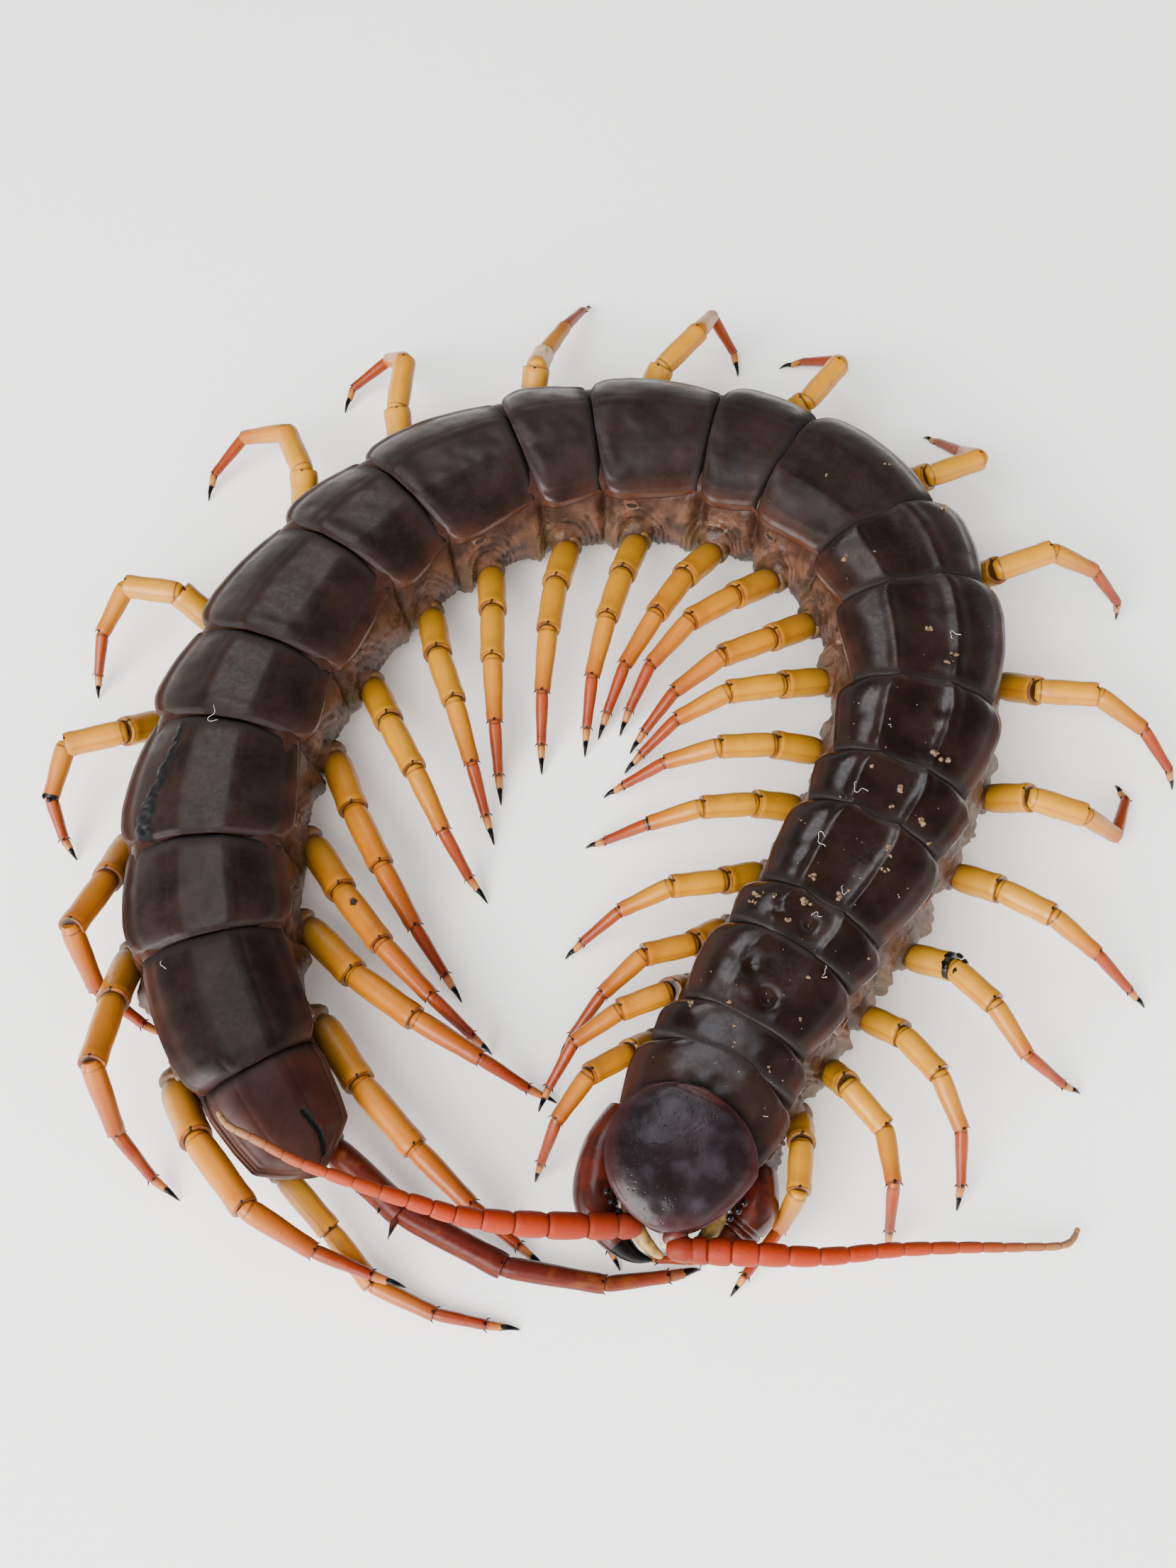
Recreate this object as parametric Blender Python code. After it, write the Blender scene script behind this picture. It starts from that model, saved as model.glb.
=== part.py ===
"""A giant centipede, life size, lying in a horseshoe curve with its head at one end of the open side.

Everything is worked out in millimetres in a plan seen from above, with +X to the right, +Y away and
+Z up, and turned into metres when a mesh is made. The midline of the body is a curve of headings,
the tergites lie along it, and each leg grows from a coxa on the flank.
"""

import bpy
from math import cos, pi, radians, sin
from mathutils import Vector

# Units and gaps
MM = 0.001
GAP = 0.3

# The midline, as headings in degrees towards the tail at distances behind the head's rear edge
STATIONS = (
    (-14, 92), (-5, 85), (0, 66), (8, 60), (20, 55), (40, 71), (60, 109), (80, 161),
    (100, 196), (120, 232), (140, 255), (160, 280), (178, 303), (194, 305),
)
START = Vector((7.8, -36.1))
TRACK_STEP = 0.25

# Tergite lengths from the first to the twenty-first
TERGITES = (
    5.0, 3.6, 7.4, 4.4, 9.2, 5.8, 8.8, 11.2, 8.0, 11.4, 7.6,
    11.2, 7.6, 12.2, 8.8, 12.0, 9.0, 11.4, 9.0, 11.4, 9.0,
)
# Width of the back plates, the height of the back and the level of the belly, along the body
WIDTHS = (
    (0, 12.0), (3, 11.8), (6, 11.2), (35, 12.6), (55, 13.8), (110, 13.7),
    (145, 13.4), (155, 13.2), (164, 12.1), (175, 9.9), (180, 9.2), (184, 8.2),
)
HEIGHTS = (
    (0, 8.8), (2.2, 9.4), (5, 10.6), (8.6, 11.0), (16, 11.4), (35, 12.1),
    (145, 12.1), (157, 11.8), (167, 11.2), (175, 10.3), (184, 7.0),
)
BELLY = ((0, 0.5), (4, 0.0), (169, 0.0), (184, 2.4))
FLANK = ((0, 0.94), (4, 1.0), (165, 1.0), (177, 0.9), (184, 0.86))
TAIL_END = 181.8
# The rear of the last plate: distance, half its width there, and its top
TAIL_SHIELD = ((177.6, 4.0, 9.2), (180.6, 3.7, 8.3), (183.0, 2.2, 7.3), (184.0, 0.9, 6.9))
SHIELD_THICK = 0.7

# Half of a trunk section, from the middle of the belly to the middle of the back,
# as shares of the back's width and of the height
SECTION = (
    (0.00, 0.00), (0.26, 0.00), (0.43, 0.09), (0.535, 0.25), (0.55, 0.42),
    (0.515, 0.62), (0.475, 0.79), (0.50, 0.845), (0.41, 0.935), (0.22, 0.985), (0.00, 1.00),
)
# The plate's points of that section start at this one. A plate dips under the one before it, lifts to
# a lip at its rear edge, and is widest behind its middle: stops as share of its length, lift and spread
PLATE_FROM = 7
PLATE_DIP = 0.45
PLATE_LIP = 0.15
PLATE_NECK = 0.94
PLATE_SPREAD = 1.07
PLATE_STOPS = ((0.22, -0.1, 1.0), (0.55, 0.0, PLATE_SPREAD), (0.84, 0.05, PLATE_SPREAD))
FRONT_STEP = 0.05
REAR_STEP = 0.25
TRUNK_LENGTHS = ((1, 3), (4, 6), (7, 9), (10, 12), (13, 15), (16, 18), (19, 21))

# Coxae: the share of its tergite where each one stands, up to a given pair, how far out its end is as
# a share of the back's width, and how high. The first and the last pair stand nearer the middle
COXA_SHARES = ((5, 0.45), (10, 0.55), (15, 0.68), (21, 0.72))
COXA_OUT = 0.59
COXA_HEIGHT = 3.6
COXA_STOPS = ((2.4, 1.3), (0.9, 1.3), (0.0, 1.02))
COXA_LEAN = 0.7
FRONT_COXA_LEAN = 0.35
FIRST_COXA_OUT = 5.4
FIRST_COXA_HEIGHT = 1.9
LAST_COXA_OUT = 2.1
LAST_COXA_BEHIND = 0.4

# Legs: lengths of prefemur, femur, tibia, first tarsus, and second tarsus with claw, for the second
# pair, with what is added by the thirteenth pair, and what each pair behind the fifteenth adds
SECOND_PAIR = (3.3, 4.1, 4.3, 4.4, 2.1)
GROWTH = (2.7, 1.9, 1.6, 0.4, 0.7)
REAR_GROWTH = (0.12, 0.20, 0.06, 0.0, 0.0)
FIRST_PAIR = (2.8, 3.3, 3.4, 3.2, 1.7)
LAST_PAIR = {"r": (7.6, 9.0, 7.8, 5.0, 2.9), "l": (5.5, 5.3, 5.3, 4.0, 2.7)}
# Radii where each segment begins and at the claw's root
GIRTH = (1.42, 1.22, 1.02, 0.66, 0.42, 0.27)
LAST_GIRTH = {"r": (1.25, 1.1, 0.95, 0.7, 0.5, 0.35), "l": (1.05, 0.9, 0.75, 0.55, 0.4, 0.27)}
SMALLEST_GIRTH = 0.82
FIRST_PAIR_GIRTH = 0.68
FULL_GIRTH_BY = 7
# Stops along a segment: share of its length, and how far its radius has gone towards the next one
SEGMENT_STOPS = ((0.28, 0.0), (0.8, 0.65))
TARSUS_STOPS = ((0.25, 0.0), (0.85, 0.9))
CLAW_STOPS = ((0.25, 0.0), (0.62, 1.0))
CLEAR_OF_COXA = 1.1
JOINT_PINCH = 0.86
TIP_RADIUS = 0.14
LEG_SIDES = 6
# Spines on the inner side of the last right leg: share of its prefemur, rise of the spine, and length
SPINES = ((0.46, 0.5, 0.7), (0.76, 0.5, 0.8), (0.96, 0.4, 1.8))
SPINE_LEAN = 0.55
SPINE_RADIUS = 0.34
SPINE_TIP = 0.12
# Two legs of the left side are shorter than their neighbours, as legs are that grew again
SHORT_LEGS = {("l", 16): 0.82, ("l", 17): 0.8}

# Pose of each leg in degrees: the swing of the prefemur from straight out, towards the head,
# then the turns at femur, tibia and tarsus; with joint heights in millimetres where the leg is
# lifted or folded away from the usual arch
USUAL_ARCH = (5.3, 6.0, 4.2, 1.5, 0.0)
POSE_RIGHT = {
    1: (76, 14, 28, 18), 2: (72, -6, 15, 8), 3: (83, -28, 7, 24), 4: (75, -21, 19, 8), 5: (58, -13, 5, 10),
    6: (35, 2, -3, -5), 7: (23, 4, -3, 6), 8: (22, -6, 6, 12), 9: (18, -8, 3, 12),
    10: (-4, -2, 7, 14), 11: (-15, 5, -4, 8), 12: (-15, 1, 0, 7), 13: (-24, 4, 1, 4),
    14: (-30, -2, 1, 2), 15: (-41, 7, 0, 1), 16: (-44, 4, 2, 10), 17: (-55, 5, 5, 4),
    18: (-59, 5, 9, 12), 19: (-59, 9, 10, 6), 20: (-83, 8, 5, 7), 21: (-76, 14, 18, 18),
}
POSE_LEFT = {
    1: (76, 14, 34, 30), 2: (64, 4, 30, 2), 3: (34, -15, 34, 5), 4: (7, 14, 11, 22), 5: (-3, 22, 3, -31),
    6: (8, 1, -1, -1), 7: (11, -18, -11, -68), 8: (46, -40, 22, 13), 9: (67, -65, 18, 18),
    10: (64, -40, -78, -16), 11: (52, -31, -33, -60), 12: (32, 9, -22, 101), 13: (23, -3, 16, 2),
    14: (25, 14, -34, -88), 15: (47, -18, -46, -67), 16: (2, -18, -68, -19), 17: (-60, 30, -57, -36),
    18: (-85, 8, -38, -35), 19: (-79, 2, -22, -24), 20: (-91, -11, -26, -6), 21: (-99, 3, -25, -13),
}
ARCH_RIGHT = {
    1: (1.4, 1.0, 0.8, 0.6, 0.0), 2: (5.7, 6.9, 5.4, 1.8, 0.0), 3: (6.4, 6.4, 4.9, 2.1, 1.3),
    16: (5.8, 6.6, 4.7, 1.5, 0.0), 17: (4.4, 4.7, 3.1, 1.5, 0.0),
    18: (5.0, 5.8, 5.0, 2.1, 0.0), 19: (4.4, 5.0, 3.7, 1.2, 0.0), 20: (4.3, 3.9, 2.8, 1.4, 0.0),
    21: (2.5, 2.0, 1.6, 1.0, 0.0),
}
ARCH_LEFT = {
    1: (1.4, 1.0, 0.8, 0.6, 0.0), 2: (5.5, 6.0, 2.2, 1.2, 0.0), 3: (6.1, 5.7, 5.5, 1.8, 0.0),
    7: (6.5, 5.3, 1.8, 1.0, 0.0), 8: (6.6, 7.0, 5.1, 2.2, 0.0), 9: (7.8, 8.7, 6.0, 2.5, 0.0),
    10: (7.0, 7.4, 3.8, 1.4, 0.0), 11: (6.4, 7.5, 3.8, 1.3, 0.0), 12: (6.5, 7.3, 4.8, 1.0, 0.0),
    13: (7.6, 4.4, 3.2, 1.6, 0.0), 14: (6.3, 7.2, 3.4, 1.3, 0.0), 15: (6.6, 6.2, 3.4, 1.3, 0.0),
    16: (6.5, 6.5, 4.2, 1.5, 0.0), 17: (6.5, 6.5, 4.2, 1.5, 0.0), 18: (6.8, 9.4, 4.2, 2.0, 0.0),
    19: (7.0, 9.3, 4.6, 1.4, 0.0), 20: (6.3, 6.6, 3.6, 2.6, 1.9), 21: (2.0, 1.1, 0.9, 0.7, 0.0),
}


def between(table, at):
    """Straight-line value of a table of (place, value) pairs."""
    if at <= table[0][0]:
        return table[0][1]
    for (a, va), (b, vb) in zip(table, table[1:]):
        if at <= b:
            return va + (vb - va) * (at - a) / (b - a)
    return table[-1][1]


def heading(s):
    """Heading of the midline in degrees, eased through the stations."""
    last = len(STATIONS) - 1
    k = 0
    while k < last - 1 and s > STATIONS[k + 1][0]:
        k += 1
    (a, va), (b, vb) = STATIONS[k], STATIONS[k + 1]
    before = STATIONS[max(k - 1, 0)]
    after = STATIONS[min(k + 2, last)]
    slope_a = (vb - before[1]) / (b - before[0])
    slope_b = (after[1] - va) / (after[0] - a)
    u = (s - a) / (b - a)
    span = b - a
    return (
        (2 * u ** 3 - 3 * u ** 2 + 1) * va + (u ** 3 - 2 * u ** 2 + u) * slope_a * span
        + (3 * u ** 2 - 2 * u ** 3) * vb + (u ** 3 - u ** 2) * slope_b * span
    )


def run_track(start_s, end_s):
    """Points of the midline from the neck on, one way or the other."""
    step = TRACK_STEP if end_s > start_s else -TRACK_STEP
    points = [START.copy()]
    for i in range(int(abs(end_s - start_s) / TRACK_STEP) + 2):
        angle = radians(heading(start_s + (i + 0.5) * step))
        points.append(points[-1] + Vector((cos(angle), sin(angle))) * step)
    return points


BODY_LENGTH = sum(TERGITES)
TRACK_BACK = run_track(0.0, BODY_LENGTH)
TRACK_AHEAD = run_track(0.0, STATIONS[0][0] + 1.0)


def midline(s):
    """Point on the midline, the direction towards the head, and the direction to the animal's left."""
    track = TRACK_BACK if s >= 0 else TRACK_AHEAD
    place = min(abs(s) / TRACK_STEP, len(track) - 1.001)
    k = int(place)
    point = track[k].lerp(track[k + 1], place - k)
    angle = radians(heading(s))
    ahead = Vector((-cos(angle), -sin(angle), 0.0))
    left = Vector((sin(angle), -cos(angle), 0.0))
    return Vector((point.x, point.y, 0.0)), ahead, left


def rear_edge(n):
    """Distance along the midline to the rear edge of tergite n."""
    return sum(TERGITES[:n])


def material(name, colour, roughness):
    made = bpy.data.materials.new(name)
    made.use_nodes = True
    shader = made.node_tree.nodes["Principled BSDF"]
    shader.inputs["Base Color"].default_value = (*colour, 1.0)
    shader.inputs["Roughness"].default_value = roughness
    shader.inputs["Metallic"].default_value = 0.0
    return made


def tube(name, rings):
    """A closed mesh skinned over rings of points, with flat ends."""
    count = len(rings[0])
    vertices = [point * MM for ring in rings for point in ring]
    faces = []
    for r in range(len(rings) - 1):
        for i in range(count):
            j = (i + 1) % count
            faces.append((r * count + i, r * count + j, (r + 1) * count + j, (r + 1) * count + i))
    faces.append(tuple(reversed(range(count))))
    last = (len(rings) - 1) * count
    faces.append(tuple(last + i for i in range(count)))
    mesh = bpy.data.meshes.new(name)
    mesh.from_pydata(vertices, [], faces)
    mesh.validate()
    made = bpy.data.objects.new(name, mesh)
    bpy.context.scene.collection.objects.link(made)
    return made


def facing_out(made):
    """Turn the faces out where the mesh encloses a negative volume."""
    volume = 0.0
    mesh = made.data
    for face in mesh.polygons:
        corners = [mesh.vertices[i].co for i in face.vertices]
        for a, b in zip(corners[1:], corners[2:]):
            volume += corners[0].dot(a.cross(b))
    if volume < 0:
        mesh.flip_normals()
    return made


def joined(name, pieces):
    """One closed body from overlapping pieces, the first of which keeps the others."""
    group = bpy.data.collections.new(name + "_pieces")
    bpy.context.scene.collection.children.link(group)
    for piece in pieces[1:]:
        bpy.context.scene.collection.objects.unlink(piece)
        group.objects.link(piece)
    body = pieces[0]
    union = body.modifiers.new("Union", "BOOLEAN")
    union.operation = "UNION"
    union.operand_type = "COLLECTION"
    union.collection = group
    union.solver = "MANIFOLD"
    graph = bpy.context.evaluated_depsgraph_get()
    mesh = bpy.data.meshes.new_from_object(body.evaluated_get(graph))
    mesh.name = name
    body.modifiers.clear()
    body.data = mesh
    body.name = name
    for piece in list(group.objects):
        bpy.data.objects.remove(piece)
    bpy.data.collections.remove(group)
    keep_largest(body)
    return body


def keep_largest(made):
    """Keep only the largest closed surface of a mesh."""
    mesh = made.data
    parent = list(range(len(mesh.vertices)))

    def root(i):
        while parent[i] != i:
            parent[i] = parent[parent[i]]
            i = parent[i]
        return i

    for edge in mesh.edges:
        a, b = root(edge.vertices[0]), root(edge.vertices[1])
        if a != b:
            parent[a] = b
    faces_of = {}
    for face in mesh.polygons:
        faces_of.setdefault(root(face.vertices[0]), []).append(face.index)
    if len(faces_of) < 2:
        return
    best = max(faces_of.values(), key=len)
    kept = sorted({i for f in best for i in mesh.polygons[f].vertices})
    renumber = {old: new for new, old in enumerate(kept)}
    vertices = [mesh.vertices[i].co.copy() for i in kept]
    faces = [[renumber[i] for i in mesh.polygons[f].vertices] for f in best]
    clean = bpy.data.meshes.new(mesh.name)
    clean.from_pydata(vertices, [], faces)
    made.data = clean


def finish(made, look):
    made.data.materials.clear()
    made.data.materials.append(look)
    made.data.shade_smooth()
    made.data.set_sharp_from_angle(angle=radians(35))
    return made


# Trunk

def trunk_ring(s, plate_rise, spread, shift=0.0, grow=0.0):
    """Section of the trunk at s, its back plate raised or dipped by plate_rise and spread sideways."""
    centre, ahead, left = midline(s)
    centre = centre + ahead * shift
    flank = between(FLANK, s)
    width = between(WIDTHS, s)
    belly = between(BELLY, s)
    height = between(HEIGHTS, s) - belly
    half = []
    for i, (across, up) in enumerate(SECTION):
        rise = plate_rise if i >= PLATE_FROM else 0.0
        side = flank if 0 < i < PLATE_FROM else spread
        out = across * width * side + (rise if i == PLATE_FROM else 0.0)
        if 0 < i < len(SECTION) - 1:
            out += grow
        half.append((out, belly + up * height + (rise if i > PLATE_FROM else 0.0) + grow * (2 * up - 1)))
    ring = [centre + left * out + Vector((0, 0, z)) for out, z in half]
    ring += [centre - left * out + Vector((0, 0, z)) for out, z in reversed(half[1:-1])]
    return ring


def trunk_rings(first, last, grow=0.0):
    """Sections along tergites first to last, with a step down behind each plate's rear lip."""
    rings = []
    for n in range(first, last + 1):
        front = rear_edge(n - 1)
        back = rear_edge(n)
        length = back - front
        if n == first:
            rings.append(trunk_ring(front, -PLATE_DIP, PLATE_NECK, grow - GAP / 2, grow))
        else:
            rings.append(trunk_ring(front + FRONT_STEP, -PLATE_DIP, PLATE_NECK, 0.0, grow))
        stops = PLATE_STOPS[:2] if n == len(TERGITES) else PLATE_STOPS
        for share, lift, spread in stops:
            rings.append(trunk_ring(front + share * length, lift, spread, 0.0, grow))
        if n == len(TERGITES):
            rings.append(trunk_ring(TAIL_END, 0.0, 1.0, 0.0, grow))
        elif n == last:
            rings.append(trunk_ring(back, PLATE_LIP, 1.0, GAP / 2, grow))
        else:
            rings.append(trunk_ring(back - REAR_STEP, PLATE_LIP, 1.0, 0.0, grow))
    return rings


def trunk_length(first, last):
    """The skin and back plates of tergites first to last."""
    return facing_out(tube(f"trunk_{TRUNK_LENGTHS.index((first, last)) + 1}", trunk_rings(first, last)))


def tail_shield():
    """The rear of the last tergite, which narrows to a point over the roots of the last legs."""
    rings = [body_ring(s, half, top - SHIELD_THICK, top, HEAD_SECTION) for s, half, top in TAIL_SHIELD]
    return facing_out(tube("shield", rings))


def turned(points_dirs, radii, sides):
    """Rings of a limb: round sections about points, square to the directions, none below the floor."""
    rings = []
    for (point, along), radius in zip(points_dirs, radii):
        side = along.cross(Vector((0, 0, 1)))
        if side.length < 0.05:
            side = Vector((0, 1, 0))
        side.normalize()
        up = side.cross(along).normalized()
        ring = []
        for i in range(sides):
            angle = 2 * pi * (i + 0.5) / sides
            spot = point + side * cos(angle) * radius + up * sin(angle) * radius
            ring.append(Vector((spot.x, spot.y, max(spot.z, 0.0))))
        rings.append(ring)
    return rings


# Legs

def leg_lengths(side, n):
    """Prefemur, femur, tibia, first tarsus, and second tarsus with claw, of leg pair n."""
    if n == 21:
        return LAST_PAIR[side]
    if n == 1:
        return FIRST_PAIR
    grown = min(1.0, (n - 2) / 11)
    rear = max(0, n - 15)
    share = SHORT_LEGS.get((side, n), 1.0)
    sizes = zip(SECOND_PAIR, GROWTH, REAR_GROWTH)
    return tuple(share * (length + more * grown + last * rear) for length, more, last in sizes)


def leg_girth(side, n):
    """Radii of leg pair n where each of its segments begins, and at the claw's root."""
    if n == 21:
        return LAST_GIRTH[side]
    grown = SMALLEST_GIRTH + (1 - SMALLEST_GIRTH) * min(1.0, (n - 1) / FULL_GIRTH_BY)
    if n == 1:
        grown = FIRST_PAIR_GIRTH
    return tuple(grown * radius for radius in GIRTH)


def coxa_place(side, n):
    """End of the coxa of one leg, the animal's sideways direction there, and the way ahead."""
    share = next(share for last, share in COXA_SHARES if n <= last)
    s = rear_edge(n - 1) + TERGITES[n - 1] * share
    out = COXA_OUT * between(WIDTHS, s)
    height = COXA_HEIGHT
    if n == 21:
        s = TAIL_END + LAST_COXA_BEHIND
        out = LAST_COXA_OUT
    if n == 1:
        out = FIRST_COXA_OUT
        height = FIRST_COXA_HEIGHT
    centre, ahead, left = midline(s)
    sideways = left if side == "l" else -left
    return centre + sideways * out + Vector((0, 0, height)), sideways, ahead


def leg_joints(side, n):
    """Joints of a leg from the coxa's end to the claw's tip."""
    base, sideways, ahead = coxa_place(side, n)
    if side == "l":
        pose, arch = POSE_LEFT[n], ARCH_LEFT.get(n, USUAL_ARCH)
    else:
        pose, arch = POSE_RIGHT[n], ARCH_RIGHT.get(n, USUAL_ARCH)
    turns = list(pose) + [pose[3] * 0.5]
    joints = [base]
    azimuth = 0.0
    for length, turn, height in zip(leg_lengths(side, n), turns, arch):
        azimuth += turn
        rise = height - joints[-1].z
        reach = max(length ** 2 - rise ** 2, 0.0) ** 0.5
        way = sideways * cos(radians(azimuth)) + ahead * sin(radians(azimuth))
        joints.append(Vector((joints[-1].x, joints[-1].y, height)) + way * reach)
    return joints


def coxa_way(side, n):
    """Direction the coxa points in: between straight out and the way the leg goes."""
    joints = leg_joints(side, n)
    _, sideways, ahead = coxa_place(side, n)
    if n == 21:
        return -ahead
    lean = COXA_LEAN if n > 2 else FRONT_COXA_LEAN
    return ((joints[1] - joints[0]).normalized() + sideways * lean).normalized()


def coxa(side, n):
    """Stump on the flank that the leg meets face to face."""
    base = leg_joints(side, n)[0]
    way = coxa_way(side, n)
    girth = leg_girth(side, n)[0]
    places = [(base - way * depth, way) for depth, _ in COXA_STOPS]
    rings = turned(places, [girth * swell for _, swell in COXA_STOPS], 8)
    return facing_out(tube("coxa", rings))


def spine(side, n, share, rise, length):
    """A spine on the inner side of a prefemur, rooted at the middle of the segment."""
    joints = leg_joints(side, n)
    along = (joints[1] - joints[0]).normalized()
    inner = along.cross(Vector((0, 0, 1))).normalized()
    way = (inner + Vector((0, 0, rise)) + along * SPINE_LEAN).normalized()
    root = joints[0].lerp(joints[1], share)
    girth = leg_girth(side, n)[1]
    places = [(root + way * at, way) for at in (0.0, girth, girth + length)]
    return facing_out(tube("spine", turned(places, (SPINE_RADIUS, SPINE_RADIUS, SPINE_TIP), 5)))


def leg(side, n):
    """One leg, segment by segment, drawn in at each joint."""
    joints = leg_joints(side, n)
    girth = leg_girth(side, n)
    way = coxa_way(side, n)
    joints[0] = joints[0] + way * GAP
    places = [(joints[0], way)]
    radii = [girth[0] * JOINT_PINCH]
    spans = list(zip(joints, joints[1:]))
    for k, (a, b) in enumerate(spans):
        along = (b - a).normalized()
        r0, r1 = girth[k], girth[k + 1]
        for share, gone in (SEGMENT_STOPS, SEGMENT_STOPS, SEGMENT_STOPS, TARSUS_STOPS, CLAW_STOPS)[k]:
            if k < 3:
                share = max(share, CLEAR_OF_COXA / (b - a).length)
            places.append((a.lerp(b, share), along))
            radii.append(r0 + (r1 - r0) * gone)
        if k < 4:
            onward = (spans[k + 1][1] - spans[k + 1][0]).normalized()
            places.append((b, (along + onward).normalized()))
            radii.append(r1 * JOINT_PINCH)
    end_way = (spans[-1][1] - spans[-1][0]).normalized()
    end_point = joints[-1] - end_way * TIP_RADIUS
    end_point.z = max(end_point.z, TIP_RADIUS)
    places.append((end_point, end_way))
    radii.append(TIP_RADIUS)
    name = f"leg_{side}_{n:02d}"
    limb_itself = facing_out(tube(name, turned(places, radii, LEG_SIDES)))
    if (side, n) == ("r", 21):
        return joined(name, [limb_itself] + [spine(side, n, *sizes) for sizes in SPINES])
    return limb_itself


def cut_clear(made, cutter):
    """Cut one body clear of another's grown shape, keeping its largest part."""
    cut = made.modifiers.new("Clear", "BOOLEAN")
    cut.operation = "DIFFERENCE"
    cut.object = cutter
    cut.solver = "MANIFOLD"
    graph = bpy.context.evaluated_depsgraph_get()
    mesh = bpy.data.meshes.new_from_object(made.evaluated_get(graph))
    mesh.name = made.name
    made.modifiers.clear()
    made.data = mesh
    keep_largest(made)
    return made


# Head

HEAD_SECTION = (
    (0.00, 0.00), (0.50, 0.02), (0.86, 0.22), (0.97, 0.55),
    (1.00, 0.80), (0.80, 0.93), (0.42, 0.985), (0.00, 1.00),
)
HEAD_PLACES = (-7.9, -7.3, -6.7, -5.8, -4.6, -3.3, -1.5, -GAP)
HEAD_HALF_WIDTH = (
    (-7.9, 0.9), (-7.3, 1.9), (-6.7, 2.7), (-5.8, 3.75), (-4.6, 4.9),
    (-3.3, 5.5), (-1.5, 5.5), (0.0, 5.1), (2.4, 3.2),
)
HEAD_TOP = ((-7.9, 6.7), (-7.3, 7.3), (-5.8, 8.2), (-4.4, 8.9), (-2.2, 9.7), (2.4, 10.5))
HEAD_UNDER = ((-7.9, 5.8), (-7.3, 5.2), (-6.0, 5.0), (0.0, 5.0))
HEAD_PLATE_PLACES = (-2.2, -0.2, 1.4, 2.4)
HEAD_PLATE_INSET = 0.98
HEAD_PLATE_THICK = 0.62
SOCKET_DEPTH = 2.4
SOCKET_GIRTH = (1.05, 1.0)
LOBE_PLACES = ((-5.4, 1.8, 2.6, 3.6), (-4.7, 2.6, 2.1, 4.3), (-3.4, 3.1, 1.8, 4.6), (-1.9, 3.4, 1.8, 4.65))
SHOULDER_PLACES = ((-1.0, 5.3, 1.8, 4.65), (-GAP, 5.5, 1.8, 4.65))
FANG_ROUTE = (
    (-1.4, 5.7, 3.9), (-2.6, 6.0, 4.15), (-4.4, 5.9, 4.1), (-6.0, 5.1, 3.7),
    (-7.3, 4.2, 3.3), (-8.2, 2.9, 2.9), (-8.5, 1.5, 2.6),
)
FANG_GIRTH = (1.5, 1.8, 1.75, 1.4, 1.0, 0.6, 0.2)
EYES = ((-5.6, 3.85, 7.3), (-5.0, 4.4, 7.5), (-5.2, 4.25, 6.8), (-4.5, 4.8, 7.1))
EYE_RADIUS = 0.32
EYE_DEPTH = 1.2
PALP_ROUTE = ((-3.6, 3.0, 5.2), (-5.3, 3.3, 4.9), (-6.8, 2.8, 4.9), (-8.0, 1.8, 4.5), (-8.7, 0.8, 4.0))
PALP_GIRTH = (0.8, 0.75, 0.65, 0.5, 0.2)


def body_ring(s, half_width, under, top, section):
    centre, _, left = midline(s)
    half = [(out * half_width, under + up * (top - under)) for out, up in section]
    ring = [centre + left * out + Vector((0, 0, z)) for out, z in half]
    ring += [centre - left * out + Vector((0, 0, z)) for out, z in reversed(half[1:-1])]
    return ring


def beside(s, out, z):
    """A point at s along the midline, out to the animal's left, at height z."""
    centre, _, left = midline(s)
    return centre + left * out + Vector((0, 0, z))


def bump(point, way, radius, length):
    """A small blunt knob rooted in a surface."""
    stops = (-length, radius * 0.3, radius * 0.8)
    places = [(point + way * stop, way) for stop in stops]
    return facing_out(tube("bump", turned(places, (radius, radius, radius * 0.5), 6)))


def limb(name, side, route, radii, sides):
    """A curved limb of the head through places given as (s, out, height)."""
    points = [beside(s, side * out, z) for s, out, z in route]
    places = []
    for k, point in enumerate(points):
        before = points[max(k - 1, 0)]
        after = points[min(k + 1, len(points) - 1)]
        places.append((point, (after - before).normalized()))
    return facing_out(tube(name, turned(places, radii, sides)))


def head_plate_rear():
    """The rear of the head plate, a thin shield that reaches back over the first tergite."""
    rings = []
    for s in HEAD_PLATE_PLACES:
        top = between(HEAD_TOP, s)
        half = between(HEAD_HALF_WIDTH, s) * HEAD_PLATE_INSET
        rings.append(body_ring(s, half, top - HEAD_PLATE_THICK, top, HEAD_SECTION))
    return facing_out(tube("plate", rings))


def head():
    rings = []
    for s in HEAD_PLACES:
        rings.append(body_ring(
            s, between(HEAD_HALF_WIDTH, s), between(HEAD_UNDER, s), between(HEAD_TOP, s), HEAD_SECTION))
    pieces = [facing_out(tube("head", rings)), head_plate_rear()]
    for side in (1, -1):
        for s, out, z in EYES:
            point = beside(s, side * out, z)
            inward = beside(s + 2.0, 0.0, z)
            pieces.append(bump(point, (point - inward).normalized(), EYE_RADIUS, EYE_DEPTH))
        pieces.append(limb("palp", side, PALP_ROUTE, PALP_GIRTH, 6))
        route = antenna_route(side)
        way = antenna_way(side)
        places = [(route[0] - way * SOCKET_DEPTH, way), (route[0] - way * GAP, way)]
        pieces.append(facing_out(tube("socket", turned(places, SOCKET_GIRTH, 8))))
    return joined("head", pieces)


def forcipular_segment():
    """The broad plate under the head that carries the poison claws, with its toothed front lobe."""
    places = LOBE_PLACES + SHOULDER_PLACES
    rings = [body_ring(s, half, under, top, HEAD_SECTION) for s, half, under, top in places]
    return facing_out(tube("forcipular_segment", rings))


def forcipule(side, name):
    """A curved poison claw: a thick base, two short rings and the hooked fang."""
    return limb(name, side, FANG_ROUTE, FANG_GIRTH, 8)


# Antennae

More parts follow.
